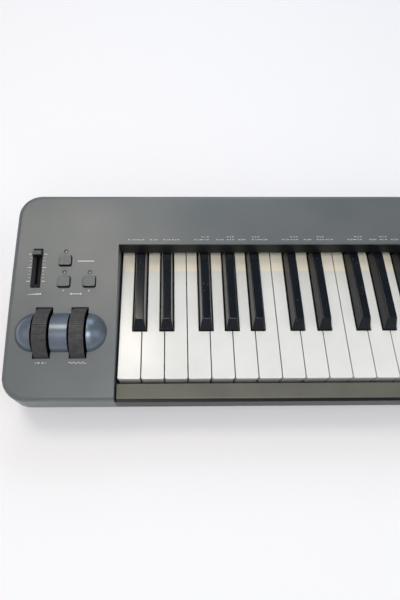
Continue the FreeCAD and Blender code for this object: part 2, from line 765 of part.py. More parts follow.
def make_slip():
    """The strip in front of the white keys: a shallow channel on its own bosses."""
    back_y, front_y = front + 18, well_front + 0.3
    top = key_plane - 3
    body = new_body("slip_form")
    outline = [(front_y, top - 7), (front_y + wall, top - 7), (front_y + wall, top - 4), (back_y - wall, top - 2.8),
               (back_y - wall, top - 14), (back_y, top - 14), (back_y, top), (front_y, top - 1.4)]
    pad(body, polygon(body, "YZ_Plane", outline, well_left + 1.6), well_right - well_left - 3.2)
    round_edges(body, 1.2, lambda e: e.BoundBox.XLength > 100 and e.BoundBox.ZMin > top.value - 1.5)
    posts = [rod("slip_post", "z", (x, y, boss_split), boss_radius - 0.4, top - 3 - boss_split)
             for x, y in slip_bosses]
    pilots = [rod("slip_pilot", "z", (x, y, boss_split - 1), shank_radius + thread_clearance, 12)
              for x, y in slip_bosses]
    finish(cut("key_slip", fuse("slip_solid", [body] + posts), group("slip_pilots", pilots)), "key_slip")


def make_cowl():
    shell = cut("cowl_shell", cowl_form("cowl_skin", 0), cowl_form("cowl_core", cowl_wall))
    reach = cowl_radius + 5
    below = box("cowl_below", (-80, -reach, -reach), (80, reach, cowl_sink - wall - 1))
    shell = cut("cowl_top", shell, below)
    under = cowl_sink - wall - 0.4
    side = cowl_straight / 2 + cowl_radius + cowl_flange
    plate = box("cowl_plate", (-side, -wheel_opening - 5, under - 1.6), (side, wheel_opening + 5, under))
    half_slot = (wheel_slot + cowl_slot_extra) / 2
    core = cowl_form("cowl_void", cowl_wall)
    plate = cut("cowl_flange", plate, core)
    slots = [box("cowl_slot", (x - half_slot, -wheel_opening - 1.2, -reach),
                 (x + half_slot, wheel_opening + 1.2, reach))
             for x in (-wheel_spacing / 2, wheel_spacing / 2)]
    cowl = cut("wheel_cowl", fuse("cowl_solid", [shell, plate]), fuse("cowl_slots", slots))
    finish(on_panel(cowl, cowl_x, cowl_y, cowl_sink), "wheel_cowl")


def wheel_form(name, hub_out):
    """A ribbed wheel about its own axle line, X, with stub axles."""
    half = wheel_width / 2
    rim = rod(f"{name}_rim", "x", (-half, 0, 0), wheel_radius, wheel_width)
    axle = rod(f"{name}_axle", "x", (-half - hub_out, 0, 0), axle_radius - running, wheel_width + 2 * hub_out)
    solid = fuse(f"{name}_solid", [rim, axle])
    ribs = []
    for step in range(RIB_COUNT):
        angle = 360.0 * step / RIB_COUNT
        groove = doc.addObject("Part::Cylinder", f"{name}_groove")
        bind(groove, "Radius", rib_groove)
        bind(groove, "Height", wheel_width + 2)
        turn = FreeCAD.Rotation(X_AXIS, angle) * FreeCAD.Rotation(FreeCAD.Vector(0, 1, 0), 90)
        groove.Placement = FreeCAD.Placement(FreeCAD.Vector(), turn)
        cosine, sine = math.cos(math.radians(angle)), math.sin(math.radians(angle))
        place(groove, -half - 1, wheel_radius * cosine, wheel_radius * sine)
        ribs.append(groove)
    return cut(name, solid, group(f"{name}_grooves", ribs))




def make_wheels():
    half = wheel_width / 2
    level = wheel_sink
    wheels = {"pitch_wheel": -wheel_spacing / 2, "mod_wheel": wheel_spacing / 2}
    for label, x in wheels.items():
        finish(on_panel(wheel_form(f"{label}_form", axle_out), cowl_x + x, cowl_y, level), label)
    gap = 3.4
    ears, holes = [], []
    bottom = -wheel_radius - 2
    bracket_top = wheel_sink - wall - 2.2
    for x in wheels.values():
        for side in (-1, 1):
            inner = x + (half + gap) * side
            low, high = (inner, inner + ear) if side > 0 else (inner - ear, inner)
            ears.append(box("wheel_ear", (low, -11, bottom - 2), (high, 11, bracket_top)))
            holes.append(rod("ear_hole", "x", (low - 1, 0, 0), axle_radius, ear + 2))
    span = wheel_spacing / 2 + half + gap + ear
    ears.append(box("wheel_base", (-span, -11, bottom - 2), (span, 11, bottom)))
    for low, high in ((-span - 9, 1 - span), (span - 1, span + 9)):
        for y in (-11, 8):
            ears.append(box("wheel_wing", (low, y, bracket_top - 2), (high, y + 3, bracket_top)))
    frame = cut("wheel_frame", fuse("wheel_ears", ears), group("ear_holes", holes))
    finish(on_panel(frame, cowl_x, cowl_y, level), "wheel_bracket")
    pots = []
    for x, side in ((wheels["pitch_wheel"], -1), (wheels["mod_wheel"], 1)):
        start = x + (half + gap + ear) * side
        low, high = (start, start + 6) if side > 0 else (start - 6, start)
        can = box("pot_can", (low, -7.5, -9), (high, 7.5, 7))
        bore = rod("pot_bore", "x", (low - 1, 0, 0), axle_radius, 8)
        pots.append(cut("pot", can, bore))
    finish(on_panel(group("pots", pots), cowl_x, cowl_y, level), "wheel_pots")
    ring = rod("coil_out", "x", (0, 0, 0), 6, 2.6)
    hole = rod("coil_in", "x", (-1, 0, 0), axle_radius + 0.4, 5)
    coil = cut("return_coil", ring, hole)
    place(coil, -wheel_spacing / 2 - half - gap + 0.1)
    finish(on_panel(group("return_spring", [coil]), cowl_x, cowl_y, level), "pitch_return_spring")


def make_buttons():
    """Caps in the panel openings, on posts that stop just above the tact switches."""
    for label, (x, y) in buttons.items():
        sag = (y - octave_y) * (y - octave_y) / (2 * arc_radius)
        post_reach = board_drop - board / 2 - 4.35 - button_travel - sag
        body = new_body(f"{label}_form")
        hw, hd = button_width / 2, button_depth / 2
        cap_depth = button_rise + wall + 0.8
        pad(body, polygon(body, "XY_Plane", rectangle(-hw, -hd, hw, hd), button_rise - cap_depth), cap_depth)
        round_edges(body, button_corner, is_upright)
        round_edges(body, 0.7, lambda e: e.BoundBox.ZMin > button_rise.value - 0.01)
        stem = rod(f"{label}_stem", "z", (0, 0, -post_reach), 2.2, post_reach)
        finish(on_panel(fuse(f"{label}_solid", [body, stem]), x, y), label)


def make_lights():
    lamps = []
    for x, y in buttons.values():
        low = board / 2 + 0.6 - board_drop
        neck = rod("lamp_neck", "z", (0, 0, low), led_radius, -led_sink - low)
        dome = doc.addObject("Part::Sphere", "lamp_dome")
        bind(dome, "Radius", led_radius)
        place(dome, 0, 0, -led_sink)
        lamps.append(on_panel(fuse("lamp", [neck, dome]), x, y + led_offset))
    finish(group("indicator_leds", lamps), "indicator_leds")


def make_control_board():
    """One board hung under the panel behind the wheels, level with the panel at the octave buttons."""
    x0, x1 = side_boss_x + boss_radius + 0.8 - column_x, column_pitch + 14
    y0, y1 = -13, function_y - octave_y + 17
    plate = box("control_plate", (x0, y0, -board / 2), (x1, y1, board / 2))
    slot = box("control_slot", (fader_x - column_x - 2, fader_y - octave_y - fader_slot_length / 2, -2),
               (fader_x - column_x + 2, fader_y - octave_y + fader_slot_length / 2, 2))
    finish(on_panel(cut("control_board", plate, slot), column_x, octave_y, board_drop), "control_board")
    switches = []
    for x, y in buttons.values():
        can = box("tact_can", (x - column_x - 3, y - octave_y - 3, board / 2),
                  (x - column_x + 3, y - octave_y + 3, board / 2 + 3.5))
        stem = rod("tact_stem", "z", (x - column_x, y - octave_y, board / 2 + 3), 1.75, 1.2)
        switches.append(fuse("tact", [can, stem]))
    finish(on_panel(group("tacts", switches), column_x, octave_y, board_drop), "tact_switches")


def make_fader():
    half_w, half_l = fader_slot_width / 2 + 1.4, fader_slot_length / 2 + 6
    top = -wall - 0.6
    bottom = -board_drop + board / 2 + 1.4
    body = box("fader_can", (-half_w, -half_l, bottom), (half_w, half_l, top))
    slot = box("fader_track", (-1.6, -fader_slot_length / 2 + 1, bottom + 1.2), (1.6, fader_slot_length / 2 - 1, 2))
    finish(on_panel(cut("fader_solid", body, slot), fader_x, fader_y), "volume_fader")
    cap = new_body("cap_form")
    hw, hl = cap_width / 2, cap_length / 2
    outline = [(-hl, cap_lift), (hl, cap_lift), (hl - 1, cap_rise), (0.9, cap_rise), (0, cap_rise - 0.8),
               (-0.9, cap_rise), (1 - hl, cap_rise)]
    pad(cap, polygon(cap, "YZ_Plane", outline, -hw), cap_width)
    lever = box("cap_lever", (-1.2, -2, bottom + 1.5), (1.2, 2, cap_lift + 0.5))
    solid = fuse("cap_solid", [cap, lever])
    solid = place(solid, 0, fader_travel / 2, 0)
    finish(on_panel(group("cap_placed", [solid]), fader_x, fader_y), "volume_cap")


# ---------------------------------------------------------------- main board and rear sockets

def make_rear():
    near = back - wall - 10
    holes = [rod("main_hole", "z", (x, y, main_board_height - 1), shank_radius + 0.2, 5)
             for x, y in main_board_spots]
    plate = box("main_plate", (left + 10, lip + wall + 1, main_board_height), (well_left - wall, back - 8.9, rear_z))
    finish(cut("main_board", plate, group("main_holes", holes)), "main_board")
    out = back - 0.3
    x = usb_x
    shell = box("usb_shell", (x - 6, out - 16, rear_z), (x + 6, out, rear_z + 11))
    inside = box("usb_inside", (x - 4.3, out - 12, rear_z + 1.5), (x + 4.3, out + 1, rear_z + 9.5))
    blade = box("usb_blade", (x - 2.9, out - 14, rear_z + 3.9), (x + 2.9, out - 3, rear_z + 7.1))
    finish(fuse("usb", [cut("usb_can", shell, inside), blade]), "usb_socket")
    x = midi_x
    block = box("midi_block", (x - 10.5, near - 4, rear_z), (x + 10.5, back - wall - 0.2, rear_z + 20))
    nose = rod("midi_nose", "y", (x, near, rear_z + 10), 7.9, out - near)
    pins = []
    for step in range(5):
        angle = math.radians(45.0 * step)
        pins.append(rod("midi_pin", "y", (x + 5 * math.cos(angle), out - 8, rear_z + 10 - 5 * math.sin(angle)),
                        0.8, 9))
    finish(cut("midi", fuse("midi_solid", [block, nose]), group("midi_pins", pins)), "midi_socket")
    x = pedal_x
    block = box("pedal_block", (x - 6.5, out - 24, rear_z), (x + 6.5, back - wall - 0.2, rear_z + 14))
    nose = rod("pedal_nose", "y", (x, near, rear_z + 7), 4.7, out - near)
    bore = rod("pedal_bore", "y", (x, out - 22, rear_z + 7), 3.25, 23)
    finish(cut("pedal", fuse("pedal_solid", [block, nose]), bore), "pedal_socket")
    x = inlet_x
    block = box("inlet_block", (x - 4.5, near - 3, rear_z), (x + 4.5, back - wall - 0.2, rear_z + 11))
    nose = rod("inlet_nose", "y", (x, near, rear_z + 6), 3.4, out - near)
    bore = rod("inlet_bore", "y", (x, out - 9, rear_z + 6), 2.75, 10)
    pin = rod("inlet_pin", "y", (x, out - 10, rear_z + 6), 1, 9)
    finish(fuse("inlet", [cut("inlet_can", fuse("inlet_solid", [block, nose]), bore), pin]), "power_inlet")
    x = switch_x
    body = box("switch_block", (x - 6.3, out - 15, rear_z), (x + 6.3, out, rear_z + 12.8))
    hollow = box("switch_hollow", (x - 4.5, out - 6, rear_z + 1.6), (x + 4.5, out + 1, rear_z + 11.2))
    y, z = out - 3.5, rear_z + 6.4
    socket = rod("rocker_socket", "x", (x - 5.2, y, z), 0.8 + running, 10.4)
    finish(cut("switch_body", body, fuse("switch_cuts", [hollow, socket])), "power_switch")
    rocker = new_body("rocker_form")
    outline = [(y - 1, z - 3.7), (y - 1, z + 3.7), (y + 2.2, z + 4.1), (y + 2.0, z), (y + 3.4, z - 3.8)]
    pad(rocker, polygon(rocker, "YZ_Plane", outline, x - 4.2), 8.4)
    pin = rod("rocker_pin", "x", (x - 5, y, z), 0.8, 10)
    finish(fuse("rocker_solid", [rocker, pin]), "power_rocker")


def make_ribbons():
    """Flat cables: contact boards to main board, and control board down to main board."""
    low, high = board_bottom + board, board_bottom + board + 0.6
    parts = [box("ribbon_run", (well_left - 12, contact_y - 15, low), (first_key + 26, contact_y - 9, high))]
    y = lip - 4.5
    drop = new_body("ribbon_drop")
    top = panel_z(y) - board_drop - board / 2 - 0.2
    outline = [(y, rear_z), (y + 14, rear_z), (y + 14, rear_z + 0.6), (y + 0.6, rear_z + 0.6), (y + 0.6, top), (y, top)]
    pad(drop, polygon(drop, "YZ_Plane", outline, left + 60), 14)
    parts.append(drop)
    finish(group("ribbon_cables", parts), "ribbon_cables")


# ---------------------------------------------------------------- assembly

def make_fasteners():
    seat = foot_height - 1 + 18
    long_screw = screw("long_screw", 14)
    items = []
    for x, y in case_bosses + slip_bosses:
        turned = group("case_screw", [long_screw])
        turned.Placement = FreeCAD.Placement(FreeCAD.Vector(), FreeCAD.Rotation(X_AXIS, 180))
        items.append(place(turned, x, y, seat))
    finish(group("case_screws", items), "case_screws")
    short = screw("short_screw", 5.8)
    spots = [(x, y, plate_top) for x, y in chassis_spots]
    spots += [(x, y, rear_z) for x, y in main_board_spots]
    spots += [(x, y, board_bottom + board) for x, y in board_posts]
    finish(copies("inner_screws", short, spots), "inner_screws")
    foot = rod("foot", "z", (0, 0, 0), foot_radius, foot_height)
    spots = [(x, y, 0) for x in (left + 45, 0 * left, -left - 45) for y in (front + 32, back - 32)]
    finish(copies("rubber_feet", foot, spots), "rubber_feet")


make_keys()
centres = key_centres()
make_chassis()
make_action_parts(centres)
finish(make_top_case(), "top_case")
finish(make_bottom_case(), "bottom_case")
make_slip()
make_cowl()
make_wheels()
make_buttons()
make_lights()
make_control_board()
make_fader()
make_rear()
make_ribbons()
make_fasteners()
doc.recompute()

problems = [item.Label for item in doc.Objects if {"Invalid", "Error"} & set(item.State)]
problems += [item.Label for item in finished if item.Shape.isNull() or not item.Shape.isValid()]
if problems:
    raise ValueError(f"these failed: {problems}")

os.makedirs("parts", exist_ok=True)
for item in finished:
    item.Shape.exportStep(f"parts/{item.Label}.step")
print(f"{len(finished)} parts written")
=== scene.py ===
"""A 61-key MIDI keyboard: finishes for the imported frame, and the fine pieces that stand on it."""
from __future__ import annotations

import json
import logging
import math
from collections.abc import Iterable
from dataclasses import dataclass, field, replace
from enum import Enum

import bmesh
import bpy
from mathutils import Matrix, Vector
from mathutils.bvhtree import BVHTree

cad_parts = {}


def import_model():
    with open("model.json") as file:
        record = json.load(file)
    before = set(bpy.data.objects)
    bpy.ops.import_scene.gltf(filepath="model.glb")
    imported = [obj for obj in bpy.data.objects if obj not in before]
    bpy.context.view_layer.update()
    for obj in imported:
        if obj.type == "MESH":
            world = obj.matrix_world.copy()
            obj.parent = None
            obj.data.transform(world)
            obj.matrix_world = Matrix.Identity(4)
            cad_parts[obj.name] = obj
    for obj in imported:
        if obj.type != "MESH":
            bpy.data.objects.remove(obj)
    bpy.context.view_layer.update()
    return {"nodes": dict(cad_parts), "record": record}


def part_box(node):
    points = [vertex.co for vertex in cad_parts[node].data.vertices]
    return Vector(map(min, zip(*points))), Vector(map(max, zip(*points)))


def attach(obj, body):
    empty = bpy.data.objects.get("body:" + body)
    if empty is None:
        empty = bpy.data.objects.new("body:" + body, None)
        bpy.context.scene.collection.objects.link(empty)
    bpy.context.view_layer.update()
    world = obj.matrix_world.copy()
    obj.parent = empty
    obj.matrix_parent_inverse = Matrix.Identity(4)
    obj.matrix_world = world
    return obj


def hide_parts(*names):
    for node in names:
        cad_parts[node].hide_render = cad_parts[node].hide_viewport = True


LOG = logging.getLogger("midi_keyboard")
MM = 0.001
CASE_BODY = "case"
WHITE_KEYS = 36
OCTAVES = 5
LAMP_BEHIND = 10.4 * MM
BUTTONS = ("function_button", "octave_down_button", "octave_up_button")
WHEELS = ("pitch_wheel", "mod_wheel")
# a mask reaches this far past a wall, so that the wall itself is inside it
MASK_SKIN = 0.06 * MM


# ---------------------------------------------------------------- colour and nodes

def srgb(code: str) -> tuple[float, float, float, float]:
    """Turns an sRGB hex colour into linear light.

    Args:
        code: six hex digits, such as "8a8d8c".

    Returns:
        Red, green, blue and an alpha of one.
    """
    shares = [int(code[start:start + 2], 16) / 255 for start in (0, 2, 4)]
    linear = [share / 12.92 if share <= 0.04045 else ((share + 0.055) / 1.055) ** 2.4 for share in shares]
    return (linear[0], linear[1], linear[2], 1.0)


def add_node(tree: bpy.types.NodeTree, kind: str, settings: dict | None = None,
             links: dict | None = None) -> bpy.types.Node:
    """Adds a node with its settings and its links.

    Args:
        tree: the material's node tree.
        kind: the node's type name.
        settings: values by property name, or by input name or number.
        links: source sockets by input name or number.

    Returns:
        The new node.
    """
    node = tree.nodes.new(kind)
    for key, value in (settings or {}).items():
        if isinstance(key, str) and hasattr(node, key):
            setattr(node, key, value)
        else:
            node.inputs[key].default_value = value
    for key, socket in (links or {}).items():
        tree.links.new(socket, node.inputs[key])
    return node


class Pattern(Enum):
    """How a surface's fine texture runs."""

    GRAIN = (1.0, 1.0, 1.0)
    BRUSHED = (0.03, 1.0, 1.0)
    FIBRE = (0.35, 1.0, 1.0)
    TRACES = (1.0, 0.6, 1.0)
    STRIPES = (1.0, 1.0, 0.0)


@dataclass(frozen=True)
class Finish:
    """One real material and how its surface was made. Sizes are in millimetres."""

    name: str
    dark: str
    light: str
    mottle_mm: float
    grain_mm: float
    depth_mm: float
    roughness: float
    roughness_swing: float = 0.05
    metallic: float = 0.0
    ior: float = 1.5
    coat: float = 0.0
    pattern: Pattern = Pattern.GRAIN

    def fine(self, tree: bpy.types.NodeTree, place: bpy.types.NodeSocket) -> bpy.types.NodeSocket:
        """Adds the fine texture that drives bump and roughness.

        Args:
            tree: the material's node tree.
            place: the object's coordinates.

        Returns:
            The texture's value socket.
        """
        scale = 1.0 / (self.grain_mm * MM)
        mapped = add_node(tree, "ShaderNodeMapping", {"Scale": self.pattern.value}, {"Vector": place})
        if self.pattern in (Pattern.TRACES, Pattern.STRIPES):
            distortion = 5.0 if self.pattern is Pattern.TRACES else 0.0
            wave = add_node(tree, "ShaderNodeTexWave", {
                "bands_direction": "X" if self.pattern is Pattern.STRIPES else "DIAGONAL",
                "Scale": scale / (2 * math.pi), "Distortion": distortion, "Detail": 1.0},
                {"Vector": mapped.outputs["Vector"]})
            return wave.outputs["Fac"]
        noise = add_node(tree, "ShaderNodeTexNoise", {"Scale": scale, "Detail": 3.0, "Roughness": 0.6},
                         {"Vector": mapped.outputs["Vector"]})
        return noise.outputs["Fac"]

    def tint(self, tree: bpy.types.NodeTree, place: bpy.types.NodeSocket,
             texture: bpy.types.NodeSocket) -> bpy.types.NodeSocket:
        """Adds the slow colour variation.

        Args:
            tree: the material's node tree.
            place: the object's coordinates.
            texture: the fine texture's socket.

        Returns:
            The colour socket.
        """
        factor = texture
        if self.pattern not in (Pattern.TRACES, Pattern.STRIPES):
            scale = 1.0 / (self.mottle_mm * MM)
            cloud = add_node(tree, "ShaderNodeTexNoise", {"Scale": scale, "Detail": 4.0}, {"Vector": place})
            factor = cloud.outputs["Fac"]
        return self.ramp(tree, factor, self.dark, self.light)

    @staticmethod
    def ramp(tree: bpy.types.NodeTree, factor: bpy.types.NodeSocket, dark: str, light: str,
             start: float = 0.35, end: float = 0.65) -> bpy.types.NodeSocket:
        """Adds a blend between two colours.

        Args:
            tree: the material's node tree.
            factor: what drives the blend.
            dark: the colour at the start.
            light: the colour at the end.
            start: the factor where the blend starts.
            end: the factor where it ends.

        Returns:
            The colour socket.
        """
        node = add_node(tree, "ShaderNodeValToRGB", links={"Fac": factor})
        first, last = node.color_ramp.elements
        first.position, last.position = start, end
        first.color, last.color = srgb(dark), srgb(light)
        return node.outputs["Color"]

    def material(self) -> bpy.types.Material:
        """Builds the whole material.

        Returns:
            The finished material.
        """
        material = bpy.data.materials.new(self.name)
        material.use_nodes = True
        tree = material.node_tree
        tree.nodes.clear()
        place = add_node(tree, "ShaderNodeTexCoord").outputs["Object"]
        texture = self.fine(tree, place)
        rough = add_node(tree, "ShaderNodeMapRange", {
            "To Min": max(self.roughness - self.roughness_swing, 0.02),
            "To Max": min(self.roughness + self.roughness_swing, 1.0)}, {"Value": texture})
        bump = add_node(tree, "ShaderNodeBump", {"Strength": 1.0, "Distance": self.depth_mm * MM},
                        {"Height": texture})
        settings = {"Metallic": self.metallic, "Coat Weight": self.coat, "Coat Roughness": 0.06}
        if self.metallic < 1.0:
            settings["IOR"] = self.ior
        shader = add_node(tree, "ShaderNodeBsdfPrincipled", settings, {
            "Base Color": self.tint(tree, place, texture), "Roughness": rough.outputs["Result"],
            "Normal": bump.outputs["Normal"]})
        add_node(tree, "ShaderNodeOutputMaterial", links={"Surface": shader.outputs["BSDF"]})
        return material


@dataclass(frozen=True)
class Recess:
    """A rounded rectangle in plan whose walls a finish paints near-black, as painted shade. Sizes are in
    metres.
    """

    x: float
    y: float
    half_x: float
    half_y: float
    corner: float = 0.01 * MM

    def inside(self, tree: bpy.types.NodeTree, place: bpy.types.NodeSocket) -> bpy.types.NodeSocket:
        """Adds a test of whether a point lies within the outline.

        Args:
            tree: the material's node tree.
            place: the object's coordinates.

        Returns:
            A socket that is one inside and zero outside.
        """
        inner = (self.half_x - self.corner, self.half_y - self.corner, 0.0)
        steps = (("SUBTRACT", (self.x, self.y, 0.0)), ("ABSOLUTE", None), ("SUBTRACT", inner),
                 ("MAXIMUM", (0.0, 0.0, 0.0)), ("MULTIPLY", (1.0, 1.0, 0.0)))
        for operation, value in steps:
            settings = {"operation": operation} if value is None else {"operation": operation, 1: value}
            place = add_node(tree, "ShaderNodeVectorMath", settings, {0: place}).outputs["Vector"]
        reach = add_node(tree, "ShaderNodeVectorMath", {"operation": "LENGTH"}, {0: place}).outputs["Value"]
        within = add_node(tree, "ShaderNodeMath", {"operation": "LESS_THAN", 1: self.corner}, {0: reach})
        return within.outputs[0]


@dataclass(frozen=True)
class PaintWithShadedOpenings(Finish):
    """Paint whose walls inside the openings are painted near-black: painted shade in the openings."""

    # near-black painted shade for the walls inside the openings
    painted_shade: str = "0e1010"
    recesses: tuple[Recess, ...] = ()

    def tint(self, tree: bpy.types.NodeTree, place: bpy.types.NodeSocket,
             texture: bpy.types.NodeSocket) -> bpy.types.NodeSocket:
        """Adds the paint's own tint, and painted shade on the walls inside the openings.

        Args:
            tree: the material's node tree.
            place: the object's coordinates.
            texture: the fine texture's socket.

        Returns:
            The colour socket.
        """
        colour = super().tint(tree, place, texture)
        for recess in self.recesses:
            mixed = add_node(tree, "ShaderNodeMix", {"data_type": "RGBA", 7: srgb(self.painted_shade)},
                             {"Factor": recess.inside(tree, place), 6: colour})
            colour = mixed.outputs[2]
        return colour


@dataclass(frozen=True)
class PlasticWithShadedSides(Finish):
    """Plastic whose etched faces facing up keep their grey, and whose other faces are painted dark: painted
    shade on the sides.
    """

    # near-black painted shade for the faces that don't face up
    side: str = "0e0f10"
    facing: tuple[float, float, float] = (0.0, 0.0, 1.0)
    turn: float = 0.6
    blend: float = 0.15

    def tint(self, tree: bpy.types.NodeTree, place: bpy.types.NodeSocket,
             texture: bpy.types.NodeSocket) -> bpy.types.NodeSocket:
        """Adds the etched faces' tint, and painted shade on the other faces.

        Args:
            tree: the material's node tree.
            place: the object's coordinates.
            texture: the fine texture's socket.

        Returns:
            The colour socket.
        """
        colour = super().tint(tree, place, texture)
        normal = add_node(tree, "ShaderNodeTexCoord").outputs["Normal"]
        along = add_node(tree, "ShaderNodeVectorMath", {"operation": "DOT_PRODUCT", 1: self.facing},
                         {0: normal})
        side_shade_share = add_node(tree, "ShaderNodeMapRange", {
            "From Min": self.turn - self.blend, "From Max": self.turn + self.blend,
            "To Min": 1.0, "To Max": 0.0},
            {"Value": along.outputs["Value"]})
        mixed = add_node(tree, "ShaderNodeMix", {"data_type": "RGBA", 7: srgb(self.side)},
                         {"Factor": side_shade_share.outputs["Result"], 6: colour})
        return mixed.outputs[2]


@dataclass(frozen=True)
class RibbedRubber(Finish):
    """Rubber whose rib tops keep its own charcoal, with painted shade in the grooves between them and on the
    sides.
    """

    # near-black painted shade for the grooves and the sides
    painted_groove_shade: str = "060607"
    side_turn: float = 0.6
    groove_top: float = 0.45 * MM
    crown_depth: float = 0.1 * MM
    axis_y: float = 0.0
    axis_z: float = 0.0
    tip: float = 0.0

    def tint(self, tree: bpy.types.NodeTree, place: bpy.types.NodeSocket,
             texture: bpy.types.NodeSocket) -> bpy.types.NodeSocket:
        """Adds the rubber's own tint, and painted shade in the grooves below the rib tops and on the sides.

        Args:
            tree: the material's node tree.
            place: the object's coordinates.
            texture: the fine texture's socket.

        Returns:
            The colour socket.
        """
        plain = super().tint(tree, place, texture)
        axis = (0.0, self.axis_y, self.axis_z)
        offset = add_node(tree, "ShaderNodeVectorMath", {"operation": "SUBTRACT", 1: axis}, {0: place})
        flat = add_node(tree, "ShaderNodeVectorMath", {"operation": "MULTIPLY", 1: (0.0, 1.0, 1.0)},
                        {0: offset.outputs["Vector"]})
        radius = add_node(tree, "ShaderNodeVectorMath", {"operation": "LENGTH"}, {0: flat.outputs["Vector"]})
        rib_top_share = add_node(tree, "ShaderNodeMapRange", {
            "From Min": self.tip - self.groove_top, "From Max": self.tip - self.crown_depth},
            {"Value": radius.outputs["Value"]})
        parts = add_node(tree, "ShaderNodeSeparateXYZ",
                         links={"Vector": add_node(tree, "ShaderNodeTexCoord").outputs["Normal"]})
        across = add_node(tree, "ShaderNodeMath", {"operation": "ABSOLUTE"}, {0: parts.outputs["X"]})
        crown = add_node(tree, "ShaderNodeMath", {"operation": "LESS_THAN", 1: self.side_turn},
                         {0: across.outputs[0]})
        # where this is zero, the grooves and the sides take painted shade
        pale = add_node(tree, "ShaderNodeMath", {"operation": "MULTIPLY"},
                        {0: rib_top_share.outputs["Result"], 1: crown.outputs[0]})
        mixed = add_node(tree, "ShaderNodeMix", {"data_type": "RGBA", 6: srgb(self.painted_groove_shade)},
                         {"Factor": pale.outputs[0], 7: plain})
        return mixed.outputs[2]


@dataclass(frozen=True)
class WhiteKeyPlastic(Finish):
    """White key plastic, with a warmer band painted on the tails under the case's lip: painted light,
    standing in for the lip's shade and the ceiling reflection the tails lack.
    """

    # the painted-light colour of the tails under the lip
    band: str = "f7f0de"
    band_start: float = 0.0
    band_soft_mm: float = 0.9

    def tint(self, tree: bpy.types.NodeTree, place: bpy.types.NodeSocket,
             texture: bpy.types.NodeSocket) -> bpy.types.NodeSocket:
        """Adds the plastic's own tint, and the painted-light band behind its start.

        Args:
            tree: the material's node tree.
            place: the object's coordinates.
            texture: the fine texture's socket.

        Returns:
            The colour socket.
        """
        plain = super().tint(tree, place, texture)
        parts = add_node(tree, "ShaderNodeSeparateXYZ", links={"Vector": place})
        edge = add_node(tree, "ShaderNodeMapRange", {
            "From Min": self.band_start, "From Max": self.band_start + self.band_soft_mm * MM},
            {"Value": parts.outputs["Y"]})
        mixed = add_node(tree, "ShaderNodeMix", {"data_type": "RGBA", 7: srgb(self.band)},
                         {"Factor": edge.outputs["Result"], 6: plain})
        return mixed.outputs[2]


@dataclass(frozen=True)
class BlackKeyPlastic(Finish):
    """Black key plastic, polished, with a few pale specks of dust lying on it."""

    dust: str = "8d8f8e"
    dust_mm: float = 5.0
    dust_size: float = 0.045

    def tint(self, tree: bpy.types.NodeTree, place: bpy.types.NodeSocket,
             texture: bpy.types.NodeSocket) -> bpy.types.NodeSocket:
        """Adds the plastic's own tint, and the dust.

        Args:
            tree: the material's node tree.
            place: the object's coordinates.
            texture: the fine texture's socket.

        Returns:
            The colour socket.
        """
        plain = super().tint(tree, place, texture)
        scale = 1.0 / (self.dust_mm * MM)
        cells = add_node(tree, "ShaderNodeTexVoronoi", {"Scale": scale}, {"Vector": place})
        speck = add_node(tree, "ShaderNodeMapRange", {
            "From Min": self.dust_size, "From Max": self.dust_size * 1.6, "To Min": 1.0, "To Max": 0.0},
            {"Value": cells.outputs["Distance"]})
        mixed = add_node(tree, "ShaderNodeMix", {"data_type": "RGBA", 7: srgb(self.dust)},
                         {"Factor": speck.outputs["Result"], 6: plain})
        return mixed.outputs[2]


# Two-part satin paint on moulded ABS, with a fine flake: mid grey with wide, soft highlights. The flake is
# drawn coarser than its real tenth of a millimetre, so that it shows
CASE_PAINT = PaintWithShadedOpenings("satin_paint_on_abs", "646a6b", "6d7172", 70, 1.1, 0.03, 0.40, 0.05, 0.2)
# The same paint where hands rub it: a little smoother and more olive
SLIP_PAINT = Finish("rubbed_satin_paint", "5f5f55", "68685d", 40, 0.5, 0.012, 0.38, 0.05, 0.15)
# Moulded ABS with a spark-eroded grain: nearly black and dull
BASE_ABS = Finish("grained_black_abs", "151617", "1c1d1e", 12, 0.8, 0.05, 0.6)
# Polished key plastic, moulded: bright and cool, with a clear gloss
WHITE_KEY = WhiteKeyPlastic("polished_white_key_plastic", "e6e7e2", "ecece8", 40, 1.5, 0.003, 0.16, 0.03)
# The same plastic in black: deep navy black that mirrors the room
BLACK_KEY = BlackKeyPlastic("polished_black_key_plastic", "0a0f15", "11171e", 20, 1.2, 0.003, 0.14, 0.03)
# Pearl paint on a smooth moulding: blue-grey steel with a tight highlight
COWL_PAINT = PaintWithShadedOpenings("pearl_paint_on_abs", "6a7580", "77828e", 25, 0.6, 0.006, 0.32, 0.03, 0.6)
# Moulded thermoplastic rubber: charcoal and dry, with painted shade in the grooves and on the sides
WHEEL_RUBBER = RibbedRubber("ribbed_thermoplastic_rubber", "38383a", "48484a", 5, 0.4, 0.02, 0.45, 0.08)
# ABS with a coarse etched grain: mid grey that sparkles a little, with painted shade on the faces that don't
# face up
BUTTON_ABS = PlasticWithShadedSides("etched_grey_abs", "5c6061", "747879", 1.2, 0.7, 0.10, 0.5, 0.08)
# Acetal, moulded: black and slightly waxy
BLACK_ACETAL = Finish("black_acetal", "0a0a0b", "121213", 5, 0.5, 0.01, 0.35)
# Epoxy lens, cast: pale smoke with a water-clear top
LAMP_EPOXY = Finish("smoked_lamp_epoxy", "8d908d", "b5b8b4", 0.9, 0.5, 0.003, 0.10, 0.02, 0.0, 1.55, 0.8)
# Moulded rubber: black and chalky
FOOT_RUBBER = Finish("moulded_black_rubber", "101011", "19191a", 8, 0.6, 0.04, 0.8)
# Pressed wool felt: deep red, all fibre
FELT_WOOL = Finish("pressed_wool_felt", "6d1718", "842324", 3, 0.5, 0.3, 0.95, 0.04, pattern=Pattern.FIBRE)
